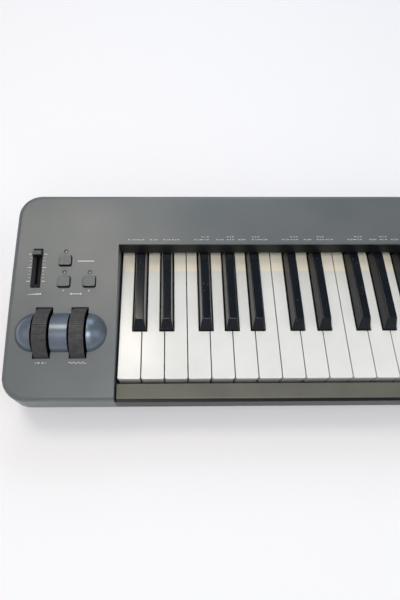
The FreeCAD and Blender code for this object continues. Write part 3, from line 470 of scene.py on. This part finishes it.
# Zinc-plated steel, rolled: bluish grey with fine lines
ZINC_STEEL = Finish("zinc_plated_steel", "9a9ca0", "adafb2", 15, 0.3, 0.01, 0.32, 0.08, 1.0,
                    pattern=Pattern.BRUSHED)
# Solder resist on glass epoxy: green, with traces that show under it
BOARD_GREEN = Finish("green_solder_resist", "0c3419", "17552c", 8, 1.8, 0.02, 0.3, pattern=Pattern.TRACES)
# Silicone, moulded: milky and soft
SILICONE = Finish("milky_silicone", "c9c8c2", "d6d5cf", 6, 0.6, 0.02, 0.55)
# Flat cable, extruded: grey wires side by side
FLAT_CABLE = Finish("grey_flat_cable", "8f8f8d", "bdbdba", 8, 1.27, 0.25, 0.5, 0.03, pattern=Pattern.STRIPES)
# Nickel plate on pressed steel: bright
NICKEL = Finish("nickel_plate", "b5b4b0", "c6c5c1", 8, 0.3, 0.005, 0.2, 0.05, 1.0)
# Screen-printed ink: off-white and matt
PRINT_INK = Finish("screen_printed_ink", "d3d5d2", "e4e6e3", 2, 0.3, 0.003, 0.6)
# The finishes that are ready before any piece is dressed
FINISHES = (CASE_PAINT, SLIP_PAINT, BASE_ABS, BLACK_KEY, COWL_PAINT, WHEEL_RUBBER, BUTTON_ABS, BLACK_ACETAL,
            LAMP_EPOXY, FOOT_RUBBER, FELT_WOOL, ZINC_STEEL, BOARD_GREEN, SILICONE, FLAT_CABLE, NICKEL,
            PRINT_INK)


# ---------------------------------------------------------------- workshop

@dataclass
class Workshop:
    """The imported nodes, the finished materials and the panel's surface, shared by every sub-assembly."""

    nodes: dict[str, bpy.types.Object]
    materials: dict[str, bpy.types.Material] = field(default_factory=dict)
    surface: BVHTree = field(init=False)

    def __post_init__(self) -> None:
        """Mixes the finishes and reads the top case's surface."""
        for finish in FINISHES:
            self.materials[finish.name] = finish.material()
        mesh = bmesh.new()
        mesh.from_mesh(self.nodes["top_case"].data)
        self.surface = BVHTree.FromBMesh(mesh)
        mesh.free()

    def dress(self, names: Iterable[str], finish: Finish) -> None:
        """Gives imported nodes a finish.

        Args:
            names: the nodes' names.
            finish: what they take.
        """
        if finish.name not in self.materials:
            self.materials[finish.name] = finish.material()
        for name in names:
            data = self.nodes[name].data
            data.materials.clear()
            data.materials.append(self.materials[finish.name])

    def height(self, x: float, y: float) -> float | None:
        """Finds how high the top case stands at a place, or None where it is open."""
        point = self.surface.ray_cast(Vector((x, y, 1.0)), Vector((0, 0, -1)))[0]
        return None if point is None else point.z

    def tilt(self, x: float, y: float, reach: float = 8 * MM) -> float:
        """Measures the panel's tilt about X.

        Args:
            x: place along the keys, on the plain panel.
            y: place in depth.
            reach: how far before and behind it is measured.

        Returns:
            The tilt in radians.
        """
        return math.atan2(self.height(x, y + reach) - self.height(x, y - reach), 2 * reach)

    def on_panel(self, x: float, y: float, plain_x: float) -> Matrix:
        """Gives the move from flat work at the origin to the panel at a place.

        Args:
            x: place along the keys.
            y: place in depth.
            plain_x: a place along the keys where the panel is whole at that depth.

        Returns:
            The transform.
        """
        turn = Matrix.Rotation(self.tilt(plain_x, y), 4, "X")
        return Matrix.Translation((x, y, self.height(plain_x, y))) @ turn

    def add(self, name: str, mesh: bmesh.types.BMesh, finish: Finish, body: str, slot: str,
            crease: float = 35.0) -> bpy.types.Object:
        """Turns a finished bmesh into a piece that rides on a body.

        Args:
            name: the piece's name.
            mesh: its mesh, already in place.
            finish: what it is made of.
            body: the body it rides on.
            slot: not used.
            crease: edges sharper than this many degrees stay sharp.

        Returns:
            The new object.
        """
        data = bpy.data.meshes.new(name)
        mesh.to_mesh(data)
        mesh.free()
        data.shade_smooth()
        data.set_sharp_from_angle(angle=math.radians(crease))
        data.materials.append(self.materials[finish.name])
        piece = bpy.data.objects.new(name, data)
        bpy.context.scene.collection.objects.link(piece)
        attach(piece, body)
        LOG.info("%s: %d faces on %s", name, len(data.polygons), body)
        return piece


def middle(node: str) -> Vector:
    """Gives the middle of a node's box."""
    low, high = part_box(node)
    return (low + high) / 2


# ---------------------------------------------------------------- printed marks

@dataclass
class Stencil:
    """Flat marks drawn in plan, then laid on the panel as a thin closed skin of ink."""

    shop: Workshop
    name: str
    thickness: float = 0.06 * MM
    sunk: float = 0.03 * MM
    flat: bmesh.types.BMesh = field(default_factory=bmesh.new)

    def bar(self, x: float, y: float, length: float, width: float, angle: float = 0.0) -> None:
        """Draws one straight mark.

        Args:
            x: its middle along the keys.
            y: its middle in depth.
            length: its length.
            width: its width.
            angle: its turn in plan, in radians.
        """
        place = Matrix.Translation((x, y, 0)) @ Matrix.Rotation(angle, 4, "Z")
        place = place @ Matrix.Diagonal((length, width, 1, 1))
        bmesh.ops.create_grid(self.flat, x_segments=1, y_segments=1, size=0.5, matrix=place)

    def triangle(self, x: float, y: float, radius: float, angle: float) -> None:
        """Draws a filled triangle.

        Args:
            x: its middle along the keys.
            y: its middle in depth.
            radius: from its middle to a corner.
            angle: which way it points in plan, in radians from +X.
        """
        place = Matrix.Translation((x, y, 0)) @ Matrix.Rotation(angle - math.pi / 2, 4, "Z")
        bmesh.ops.create_circle(self.flat, cap_ends=True, segments=3, radius=radius, matrix=place)

    def number(self, text: str, x: float, y: float, height: float) -> None:
        """Draws a plain number centred on a place.

        Args:
            text: its digits.
            x: its middle along the keys.
            y: its base line in depth.
            height: the digits' height.
        """
        curve = bpy.data.curves.new("digits", "FONT")
        curve.body = text
        curve.size = height / 0.7
        curve.align_x = "CENTER"
        curve.resolution_u = 2
        holder = bpy.data.objects.new("digits", curve)
        bpy.context.scene.collection.objects.link(holder)
        graph = bpy.context.evaluated_depsgraph_get()
        mesh = bpy.data.meshes.new_from_object(holder.evaluated_get(graph))
        mesh.transform(Matrix.Translation((x, y, 0)))
        self.flat.from_mesh(mesh)
        bpy.data.objects.remove(holder)
        bpy.data.curves.remove(curve)
        bpy.data.meshes.remove(mesh)

    def lay(self) -> bpy.types.Object:
        """Raises the marks by the ink's thickness and wraps them onto the panel.

        Returns:
            The printed piece.
        """
        bmesh.ops.remove_doubles(self.flat, verts=self.flat.verts, dist=0.001 * MM)
        self.flat.normal_update()
        upside_down = [face for face in self.flat.faces if face.normal.z < 0]
        bmesh.ops.reverse_faces(self.flat, faces=upside_down)
        raised = bmesh.ops.extrude_face_region(self.flat, geom=self.flat.faces[:], use_keep_orig=True)
        tops = [item for item in raised["geom"] if isinstance(item, bmesh.types.BMVert)]
        bmesh.ops.translate(self.flat, verts=tops, vec=(0, 0, self.thickness))
        for vert in self.flat.verts:
            vert.co.z += self.shop.height(vert.co.x, vert.co.y) - self.sunk
        bmesh.ops.recalc_face_normals(self.flat, faces=self.flat.faces)
        return self.shop.add(self.name, self.flat, PRINT_INK, CASE_BODY, "case_paint", crease=20.0)


# ---------------------------------------------------------------- case

@dataclass
class CaseShell:
    """Both case halves, the key slip, the feet and the row of numbers above the keys."""

    shop: Workshop
    number_gap: float = 4.1 * MM
    digit: float = 1.7 * MM
    dash: float = 1.9 * MM
    dash_width: float = 0.6 * MM
    dash_gap: float = 2.9 * MM
    upper_row: float = 3.3 * MM
    lip_drop: float = 0.6 * MM
    wall_start: float = 0.2 * MM
    well_margin: float = 2.0 * MM
    wheel_slot: float = 17.4 * MM
    button_gap: float = 0.6 * MM
    button_corner: float = 2.5 * MM
    lamp_hole: float = 2.32 * MM
    wheel_reach: float = 20 * MM
    search_step: float = 0.1 * MM
    hair: float = 0.01 * MM
    slider_half: tuple[float, float] = (5.1 * MM, 21.3 * MM)
    lip_steps: int = 900
    lip_edge: float = field(init=False)

    def __post_init__(self) -> None:
        """Finds the panel's edge above the keys."""
        low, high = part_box("top_case")
        self.lip_edge = high.y
        last = 0.0
        for step in range(1, self.lip_steps):
            y = high.y - (high.y - low.y) * step / self.lip_steps
            top = self.shop.height(0.0, y)
            if top is None or top < last - self.lip_drop:
                break
            self.lip_edge, last = y, top

    def openings(self) -> tuple[Recess, ...]:
        """Gives every opening of the panel whose walls take painted shade."""
        low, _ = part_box("top_case")
        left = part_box("key_c1")[0].x - self.well_margin
        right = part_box("upper_white_keys")[1].x + self.well_margin
        front, back = low.y - 1 * MM, self.lip_edge - self.wall_start
        found = [Recess((left + right) / 2, (front + back) / 2, (right - left) / 2, (back - front) / 2)]
        for wheel in WHEELS:
            spot = middle(wheel)
            ends = []
            for way in (-1, 1):
                y = spot.y
                while self.shop.height(spot.x, y) is None or abs(y - spot.y) < self.wheel_reach:
                    y += way * self.search_step
                ends.append(y)
            found.append(Recess(spot.x, sum(ends) / 2, self.wheel_slot / 2 + MASK_SKIN,
                                (ends[1] - ends[0]) / 2 + MASK_SKIN))
        for button in BUTTONS:
            spot, (near, far) = middle(button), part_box(button)
            found.append(Recess(spot.x, spot.y, (far.x - near.x) / 2 + self.button_gap + MASK_SKIN,
                                (far.y - near.y) / 2 + self.button_gap + MASK_SKIN, self.button_corner))
            found.append(Recess(spot.x, spot.y + LAMP_BEHIND, self.lamp_hole, self.lamp_hole,
                                self.lamp_hole - self.hair))
        spot = middle("volume_fader")
        found.append(Recess(spot.x, spot.y, self.slider_half[0] + MASK_SKIN, self.slider_half[1] + MASK_SKIN))
        return tuple(found)

    def dress(self) -> None:
        """Paints and finishes the case's pieces."""
        # the walls inside the openings, the lip wall above the keys among them, are painted near-black:
        # painted shade
        paint = replace(CASE_PAINT, name="satin_paint_with_painted_shade", recesses=self.openings())
        self.shop.dress(["top_case"], paint)
        self.shop.dress(["key_slip"], SLIP_PAINT)
        self.shop.dress(["bottom_case"], BASE_ABS)
        self.shop.dress(["rubber_feet"], FOOT_RUBBER)
        self.shop.dress(["case_screws", "inner_screws"], ZINC_STEEL)

    def print_numbers(self, whites: list[float], blacks: list[float]) -> None:
        """Prints a number above every key and a second, higher mark above some black keys.

        Args:
            whites: the white keys' middles.
            blacks: the black keys' middles.
        """
        row = self.lip_edge + self.number_gap
        lower = Stencil(self.shop, "key_numbers")
        upper = Stencil(self.shop, "upper_key_numbers")
        for index, x in enumerate(sorted(whites + blacks)):
            lower.number(str(index + 1), x, row, self.digit)
            for side in (-1, 1):
                lower.bar(x + side * self.dash_gap, row + self.digit / 2, self.dash, self.dash_width)
        for index, x in enumerate(sorted(blacks)[2:]):
            upper.number(str(index + 1), x, row + self.upper_row, self.digit)
            for side in (-1, 1):
                upper.bar(x + side * self.dash_gap, row + self.upper_row + self.digit / 2, self.dash,
                          self.dash_width)
        lower.lay()
        upper.lay()


# ---------------------------------------------------------------- keys

@dataclass
class KeyBed:
    """The keys and the works under them."""

    shop: Workshop
    band_back: float = 18.2 * MM

    def dress(self, lip_edge: float) -> None:
        """Finishes the keys and their works.

        Args:
            lip_edge: the depth of the panel's edge above the keys.
        """
        # the tails under the lip take a painted-light band
        white = replace(WHITE_KEY, band_start=lip_edge - self.band_back)
        keys = [name for name in self.shop.nodes if name.startswith("key_") and name[-1] in "12"]
        blacks = [name for name in keys if name[5] == "s"]
        self.shop.dress([name for name in keys if name not in blacks] + ["upper_white_keys"], white)
        self.shop.dress(blacks + ["upper_black_keys"], BLACK_KEY)
        self.shop.dress(["key_chassis", "pivot_rod", "key_springs"], ZINC_STEEL)
        self.shop.dress(["key_stop_felts"], FELT_WOOL)
        self.shop.dress(["contact_board"], BOARD_GREEN)
        self.shop.dress(["contact_pads"], SILICONE)

    def white_middles(self) -> list[float]:
        """Gives the middles of all white keys, from the left."""
        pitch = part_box("key_d1")[0].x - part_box("key_c1")[0].x
        first = middle("key_c1").x
        return [first + pitch * index for index in range(WHITE_KEYS)]

    def black_middles(self) -> list[float]:
        """Gives the middles of all black keys, from the left."""
        octave = middle("key_c2").x - middle("key_c1").x
        names = ("cs", "ds", "fs", "gs", "as")
        return [middle(f"key_{name}1").x + octave * count for count in range(OCTAVES) for name in names]


# ---------------------------------------------------------------- wheels

@dataclass
class WheelSection:
    """The capsule cowl, both wheels and what carries them."""

    shop: Workshop
    axis: Vector
    slot_width: float = 18.6 * MM
    mark_gap: float = 4.3 * MM
    stroke: float = 0.42 * MM
    wave_length: float = 17 * MM
    wave_rise: float = 0.7 * MM
    waves: int = 4
    wave_steps: int = 32
    arrow_offset: float = 1.9 * MM
    arrow_radius: float = 1.15 * MM
    dash_offset: float = 4.6 * MM
    dash: float = 2.0 * MM
    slot_reach: float = 60 * MM

    def dress(self) -> None:
        """Finishes the wheels and their carrier."""
        cowl = middle("wheel_cowl")
        slots = tuple(Recess(middle(wheel).x, cowl.y, self.slot_width / 2 + MASK_SKIN, self.slot_reach)
                      for wheel in WHEELS)
        # the cowl's walls inside the wheel slots are painted near-black: painted shade
        self.shop.dress(["wheel_cowl"], replace(COWL_PAINT, name="pearl_paint_with_painted_shade", recesses=slots))
        _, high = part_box("mod_wheel")
        rubber = replace(WHEEL_RUBBER, axis_y=self.axis.y, axis_z=self.axis.z, tip=high.z - self.axis.z)
        self.shop.dress(WHEELS, rubber)
        self.shop.dress(["wheel_bracket", "wheel_pots"], BLACK_ACETAL)
        self.shop.dress(["pitch_return_spring"], ZINC_STEEL)

    def print_marks(self) -> None:
        """Prints two arrows in front of the pitch wheel and a wave in front of the other."""
        low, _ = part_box("pitch_wheel")
        y = low.y - self.mark_gap
        x = middle("pitch_wheel").x
        arrows = Stencil(self.shop, "pitch_mark")
        for side in (-1, 1):
            arrows.triangle(x + side * self.arrow_offset, y, self.arrow_radius, side * math.pi / 2)
            arrows.bar(x + side * self.dash_offset, y, self.dash, self.stroke)
        arrows.lay()
        wave = Stencil(self.shop, "modulation_mark")
        x = middle("mod_wheel").x
        step = self.wave_length / self.wave_steps
        for count in range(self.wave_steps):
            phase = (count + 0.5) / self.wave_steps * self.waves * 2 * math.pi
            rise = self.wave_rise * math.cos(phase) * self.waves * 2 * math.pi / self.wave_length
            angle = math.atan(rise)
            wave.bar(x - self.wave_length / 2 + (count + 0.5) * step, y + self.wave_rise * math.sin(phase),
                     step / math.cos(angle), self.stroke, angle)
        wave.lay()


# ---------------------------------------------------------------- buttons and slider

@dataclass
class ControlPad:
    """Three buttons with lamps, and the slider in its sloping slot."""

    shop: Workshop
    travel: float = 30 * MM
    # a near-black ring in each lamp's recess, standing in for its shade
    shade_ring_outer: float = 2.18 * MM
    shade_ring_inner: float = 1.56 * MM
    shade_ring_height: float = 0.9 * MM
    shade_ring_sunk: float = 0.15 * MM
    shade_ring_steps: int = 40
    slot_width: float = 10.2 * MM
    slot_length: float = 43 * MM
    apron_gap: float = 0.06 * MM
    apron_run: float = 3.3 * MM
    apron_drop: float = 2.5 * MM
    apron_sheet: float = 0.5 * MM
    apron_sunk: float = 0.12 * MM
    cap_width: float = 10.6 * MM
    cap_length: float = 7.0 * MM
    cap_lift: float = 0.5 * MM
    cap_top: float = 4.9 * MM
    crown_share: tuple[float, float, float] = (0.9, 0.66, 1.0)
    crown_band: float = 0.1 * MM
    cap_edge: float = 0.4 * MM
    lever_size: tuple[float, float] = (2.2 * MM, 3.8 * MM)
    lever_gap: float = 0.2 * MM
    lever_up: float = 0.3 * MM
    pad_share: tuple[float, float] = (0.86, 0.62)
    ridge: float = 0.34 * MM
    ridges: int = 5
    tick_gap: float = 0.9 * MM
    major: float = 3.5 * MM
    minor: float = 2.0 * MM
    stroke: float = 0.55 * MM
    fine_stroke: float = 0.26 * MM
    scale_steps: int = 8
    major_every: int = 4
    sign_gap: float = 3.6 * MM
    mark_gap: float = 3.4 * MM
    minus: float = 1.8 * MM
    plus: float = 1.9 * MM
    plus_offset: float = 0.6 * MM
    plus_arm: float = 0.7 * MM
    sign_stroke: float = 0.5 * MM
    arrow_length: float = 8.6 * MM
    arrow_stroke: float = 0.6 * MM
    arrow_tip: float = 5.1 * MM
    arrow_radius: float = 1.2 * MM
    dots: int = 8
    dots_left: float = 4.7 * MM
    dots_below: float = 0.4 * MM
    dot_pitch: float = 2.2 * MM
    dot_length: float = 1.5 * MM
    dot_width: float = 1.1 * MM
    bars: int = 7
    bars_below: float = 0.8 * MM
    bar_least: float = 0.45 * MM
    bar_growth: float = 0.2 * MM
    bar_pitch: float = 2.0 * MM
    bar_width: float = 1.25 * MM

    def dress(self) -> None:
        """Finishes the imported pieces."""
        self.shop.dress(BUTTONS, BUTTON_ABS)
        self.shop.dress(["indicator_leds"], LAMP_EPOXY)
        self.shop.dress(["volume_fader", "tact_switches", "volume_cap"], BLACK_ACETAL)
        self.shop.dress(["control_board"], BOARD_GREEN)

    def plain_x(self) -> float:
        """Gives a place along the keys between slider and buttons, where the panel is whole."""
        return (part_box("volume_fader")[1].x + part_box("octave_down_button")[0].x) / 2

    def build(self) -> None:
        """Builds the rings of painted shade round the lamps, the slot's apron, the cap and the printed marks.
        """
        self.build_shade_rings()
        self.build_apron()
        self.build_cap()
        self.print_scale()
        self.print_signs()

    def build_shade_rings(self) -> None:
        """Turns one near-black ring round each lamp, just below the panel's surface: a dark piece that stands
        in for the shade in the lamp's recess.
        """
        rings = bmesh.new()
        for button in BUTTONS:
            spot = middle(button)
            y = spot.y + LAMP_BEHIND
            ring = bmesh.new()
            width = self.shade_ring_outer - self.shade_ring_inner
            centre = ((self.shade_ring_outer + self.shade_ring_inner) / 2, 0, -self.shade_ring_height / 2 - self.shade_ring_sunk)
            shape = Matrix.Translation(centre) @ Matrix.Rotation(math.pi / 2, 4, "X")
            shape = shape @ Matrix.Diagonal((width, self.shade_ring_height, 1, 1))
            bmesh.ops.create_grid(ring, x_segments=1, y_segments=1, size=0.5, matrix=shape)
            outline = ring.edges[:]
            bmesh.ops.delete(ring, geom=ring.faces[:], context="FACES_ONLY")
            bmesh.ops.spin(ring, geom=outline, axis=(0, 0, 1), cent=(0, 0, 0), angle=2 * math.pi,
                           steps=self.shade_ring_steps, use_merge=True)
            bmesh.ops.remove_doubles(ring, verts=ring.verts, dist=0.005 * MM)
            bmesh.ops.recalc_face_normals(ring, faces=ring.faces)
            bmesh.ops.transform(ring, matrix=self.shop.on_panel(spot.x, y, self.plain_x()), verts=ring.verts)
            holder = bpy.data.meshes.new("ring")
            ring.to_mesh(holder)
            ring.free()
            rings.from_mesh(holder)
            bpy.data.meshes.remove(holder)
        self.shop.add("lamp_shade_rings", rings, BLACK_ACETAL, CASE_BODY, "dark_plastic")

    def build_apron(self) -> None:
        """Folds the slot's four sloping sides down to the narrow track; the slopes are real, and their
        near-black finish is painted shade in the slot.
        """
        apron = bmesh.new()
        scale = (self.slot_width - 2 * self.apron_gap, self.slot_length - 2 * self.apron_gap, 1, 1)
        bmesh.ops.create_grid(apron, x_segments=1, y_segments=1, size=0.5, matrix=Matrix.Diagonal(scale))
        floor = apron.faces[:]
        bmesh.ops.inset_region(apron, faces=floor, thickness=self.apron_run, use_boundary=True,
                               use_even_offset=True)
        bmesh.ops.translate(apron, verts=floor[0].verts, vec=(0, 0, -self.apron_drop))
        bmesh.ops.delete(apron, geom=floor, context="FACES_ONLY")
        bmesh.ops.translate(apron, verts=apron.verts, vec=(0, 0, -self.apron_sunk))
        bmesh.ops.recalc_face_normals(apron, faces=apron.faces)
        bmesh.ops.solidify(apron, geom=apron.faces[:], thickness=self.apron_sheet)
        bmesh.ops.recalc_face_normals(apron, faces=apron.faces)
        spot = middle("volume_fader")
        place = self.shop.on_panel(spot.x, spot.y, self.plain_x())
        bmesh.ops.transform(apron, matrix=place, verts=apron.verts)
        self.shop.add("slider_apron", apron, BASE_ABS, CASE_BODY, "dark_plastic", crease=15.0)

    def build_cap(self) -> None:
        """Builds the flared black cap on its lever, and the ridged grey pad on its top."""
        fader, cap = middle("volume_fader"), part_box("volume_cap")
        y = fader.y + self.travel / 2 * math.cos(self.shop.tilt(self.plain_x(), fader.y))
        place = self.shop.on_panel(fader.x, y, self.plain_x())
        flare = bmesh.new()
        height = self.cap_top - self.cap_lift
        shape = Matrix.Translation((0, 0, self.cap_lift + height / 2))
        shape = shape @ Matrix.Diagonal((self.cap_width, self.cap_length, height, 1))
        bmesh.ops.create_cube(flare, size=1.0, matrix=shape)
        crown = [vert for vert in flare.verts if vert.co.z > self.cap_top - self.crown_band]
        bmesh.ops.scale(flare, vec=self.crown_share, verts=crown)
        bmesh.ops.bevel(flare, geom=flare.edges[:], offset=self.cap_edge, segments=3, profile=0.5,
                        affect="EDGES", material=-1)
        depth = place.translation.z - cap[0].z - self.lever_gap
        lever = Matrix.Translation((0, 0, (self.cap_lift - depth) / 2 + self.lever_up))
        lever = lever @ Matrix.Diagonal((*self.lever_size, depth + self.cap_lift, 1))
        bmesh.ops.create_cube(flare, size=1.0, matrix=lever)
        bmesh.ops.transform(flare, matrix=place, verts=flare.verts)
        body = self.shop.add("volume_cap_flare", flare, BLACK_ACETAL, "volume_cap", "cap_plastic")
        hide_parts("volume_cap")
        pad = bmesh.new()
        width, length = self.cap_width * self.pad_share[0], self.cap_length * self.pad_share[1]
        pitch = length / self.ridges
        for count in range(self.ridges):
            bar = Matrix.Translation((0, (count + 0.5) * pitch - length / 2, self.cap_top))
            bar = bar @ Matrix.Rotation(math.pi / 2, 4, "Y")
            bar = bar @ Matrix.Diagonal((1, pitch / 2 / self.ridge, 1, 1))
            bmesh.ops.create_cone(pad, cap_ends=True, segments=12, radius1=self.ridge, radius2=self.ridge,
                                  depth=width, matrix=bar)
        bmesh.ops.transform(pad, matrix=place, verts=pad.verts)
        self.shop.add("volume_cap_pad", pad, BUTTON_ABS, "volume_cap", "cap_plastic", crease=60.0)

    def print_scale(self) -> None:
        """Prints the ticks on both sides of the slider's slot."""
        ticks = Stencil(self.shop, "slider_scale")
        spot = middle("volume_fader")
        for step in range(self.scale_steps + 1):
            y = spot.y + self.travel * (0.5 - step / self.scale_steps)
            long_tick = step % self.major_every == 0
            length = self.major if long_tick else self.minor
            for side in (-1, 1):
                x = spot.x + side * (self.slot_width / 2 + self.tick_gap + length / 2)
                ticks.bar(x, y, length, self.stroke if long_tick else self.fine_stroke)
        ticks.lay()

    def print_signs(self) -> None:
        """Prints minus, plus, and a plain mark by each control."""
        down, up = middle("octave_down_button"), middle("octave_up_button")
        sign_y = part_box("octave_down_button")[0].y - self.sign_gap
        mark_y = sign_y - self.mark_gap
        signs = Stencil(self.shop, "octave_signs")
        signs.bar(down.x, sign_y, self.minus, self.sign_stroke)
        signs.bar(up.x, sign_y, self.plus, self.sign_stroke)
        for side in (-1, 1):
            signs.bar(up.x, sign_y + side * self.plus_offset, self.sign_stroke, self.plus_arm)
        signs.lay()
        arrow = Stencil(self.shop, "octave_mark")
        centre = (down.x + up.x) / 2
        arrow.bar(centre, mark_y, self.arrow_length, self.arrow_stroke)
        for side in (-1, 1):
            way = 0.0 if side > 0 else math.pi
            arrow.triangle(centre + side * self.arrow_tip, mark_y, self.arrow_radius, way)
        arrow.lay()
        self.print_dots(up.x)
        self.print_wedge(mark_y)

    def print_dots(self, x: float) -> None:
        """Prints the row of dots beside the function button.

        Args:
            x: the right-hand button's middle.
        """
        dots = Stencil(self.shop, "function_mark")
        y = middle("function_button").y - self.dots_below
        for step in range(self.dots):
            place = x - self.dots_left + (step - (self.dots - 1) / 2) * self.dot_pitch
            dots.bar(place, y, self.dot_length, self.dot_width)
        dots.lay()

    def print_wedge(self, mark_y: float) -> None:
        """Prints the row of growing bars in front of the slider.

        Args:
            mark_y: the marks' place in depth.
        """
        wedge = Stencil(self.shop, "volume_mark")
        x = middle("volume_fader").x
        for step in range(self.bars):
            tall = self.bar_least + self.bar_growth * step
            place = x + (step - (self.bars - 1) / 2) * self.bar_pitch
            wedge.bar(place, mark_y - self.bars_below + tall / 2, self.bar_width, tall)
        wedge.lay()


# ---------------------------------------------------------------- rear and inside

@dataclass
class RearAndInside:
    """The rear sockets, the boards behind them and their flat cables."""

    shop: Workshop

    def dress(self) -> None:
        """Finishes the rear pieces."""
        self.shop.dress(["midi_socket", "pedal_socket", "power_inlet", "power_switch", "power_rocker"],
                        BLACK_ACETAL)
        self.shop.dress(["usb_socket"], NICKEL)
        self.shop.dress(["main_board"], BOARD_GREEN)
        self.shop.dress(["ribbon_cables"], FLAT_CABLE)


# ---------------------------------------------------------------- studio

@dataclass(frozen=True)
class Softbox:
    """One soft area light: where it hangs, what it points at, its side, its power in watts and its colour."""

    name: str
    place: tuple[float, float, float]
    aim: tuple[float, float, float]
    size: float
    power: float
    colour: str


@dataclass
class Studio:
    """A pale floor, soft lights and the camera."""

    floor_half: float = 6.0
    lens_mm: float = 27.0
    sensor_mm: float = 36.0
    shift: float = 0.0333
    place: tuple[float, float, float] = (-0.3208, -0.2084, 0.4889)
    turn_deg: tuple[float, float, float] = (25.3, -0.67, -0.52)
    wall_colour: str = "e6eaee"
    sky_colour: str = "97a3b2"
    air_strength: float = 0.45
    softboxes: tuple[Softbox, ...] = (
        Softbox("warm_softbox", (-0.72, 0.5, 1.5), (-0.4, 0.0, 0.05), 0.5, 6.0, "fff1df"),
        Softbox("left_softbox", (-2.0, -0.6, 1.6), (-0.2, 0.0, 0.05), 1.6, 5.0, "ffe3da"),
        Softbox("right_softbox", (1.8, -0.6, 1.8), (0.0, 0.0, 0.05), 1.8, 10.0, "f6f9ff"),
        Softbox("front_softbox", (-0.2, -1.8, 1.4), (-0.1, 0.0, 0.05), 1.0, 4.0, "fffaf2"),
        Softbox("back_softbox", (-0.1, 1.8, 1.5), (-0.1, 0.0, 0.05), 1.2, 13.0, "e6f0ff"),
        Softbox("steep_softbox", (-0.2, -0.9, 2.2), (-0.1, 0.0, 0.05), 0.9, 20.0, "ffffff"))

    def lay_floor(self) -> None:
        """Lays the pale floor."""
        mesh = bmesh.new()
        bmesh.ops.create_grid(mesh, x_segments=1, y_segments=1, size=self.floor_half)
        data = bpy.data.meshes.new("studio_floor")
        mesh.to_mesh(data)
        mesh.free()
        floor = bpy.data.objects.new("studio_floor", data)
        bpy.context.scene.collection.objects.link(floor)
        material = bpy.data.materials.new("studio_floor_paper")
        material.use_nodes = True
        shader = material.node_tree.nodes["Principled BSDF"]
        shader.inputs["Base Color"].default_value = srgb("fefeff")
        shader.inputs["Roughness"].default_value = 0.95
        data.materials.append(material)

    def hang(self, box: Softbox) -> None:
        """Hangs one soft area light.

        Args:
            box: the light.
        """
        data = bpy.data.lights.new(box.name, "AREA")
        data.size = box.size
        data.energy = box.power
        data.color = srgb(box.colour)[:3]
        lamp = bpy.data.objects.new(box.name, data)
        turn = (Vector(box.aim) - Vector(box.place)).to_track_quat("-Z", "Y").to_matrix().to_4x4()
        lamp.matrix_world = Matrix.Translation(box.place) @ turn
        bpy.context.scene.collection.objects.link(lamp)

    def light(self) -> None:
        """Hangs the softboxes and sets the surroundings: pale at eye height, greyer above."""
        world = bpy.data.worlds.new("studio_air")
        world.use_nodes = True
        tree = world.node_tree
        parts = add_node(tree, "ShaderNodeSeparateXYZ",
                         links={"Vector": add_node(tree, "ShaderNodeTexCoord").outputs["Generated"]})
        rise = add_node(tree, "ShaderNodeMapRange", {"From Min": 0.15, "From Max": 0.75},
                        {"Value": parts.outputs["Z"]})
        air = Finish.ramp(tree, rise.outputs["Result"], self.wall_colour, self.sky_colour, 0.0, 1.0)
        back = tree.nodes["Background"]
        back.inputs["Strength"].default_value = self.air_strength
        tree.links.new(air, back.inputs["Color"])
        bpy.context.scene.world = world
        for box in self.softboxes:
            self.hang(box)

    def stand_camera(self) -> None:
        """Stands the camera over the left end, looking steeply down."""
        data = bpy.data.cameras.new("studio_camera")
        data.lens = self.lens_mm
        data.sensor_width = self.sensor_mm
        data.shift_x = self.shift
        camera = bpy.data.objects.new("studio_camera", data)
        camera.location = self.place
        camera.rotation_euler = [math.radians(angle) for angle in self.turn_deg]
        bpy.context.scene.collection.objects.link(camera)
        bpy.context.scene.camera = camera


def main() -> None:
    """Builds and dresses every sub-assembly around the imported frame."""
    logging.basicConfig(level=logging.INFO, format="%(message)s")
    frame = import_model()
    shop = Workshop(frame["nodes"])
    case = CaseShell(shop)
    case.dress()
    keys = KeyBed(shop)
    keys.dress(case.lip_edge)
    case.print_numbers(keys.white_middles(), keys.black_middles())
    joints = frame["record"]["behaviour"]["joints"]
    wheel_joint = next(joint for joint in joints if joint["name"] == "pitch_bend")
    wheels = WheelSection(shop, Vector(wheel_joint["pos_m"]))
    wheels.dress()
    wheels.print_marks()
    controls = ControlPad(shop)
    controls.dress()
    controls.build()
    RearAndInside(shop).dress()
    studio = Studio()
    studio.lay_floor()
    studio.light()
    studio.stand_camera()
    bpy.context.scene.view_settings.view_transform = "Standard"


if __name__ == "__main__":
    main()
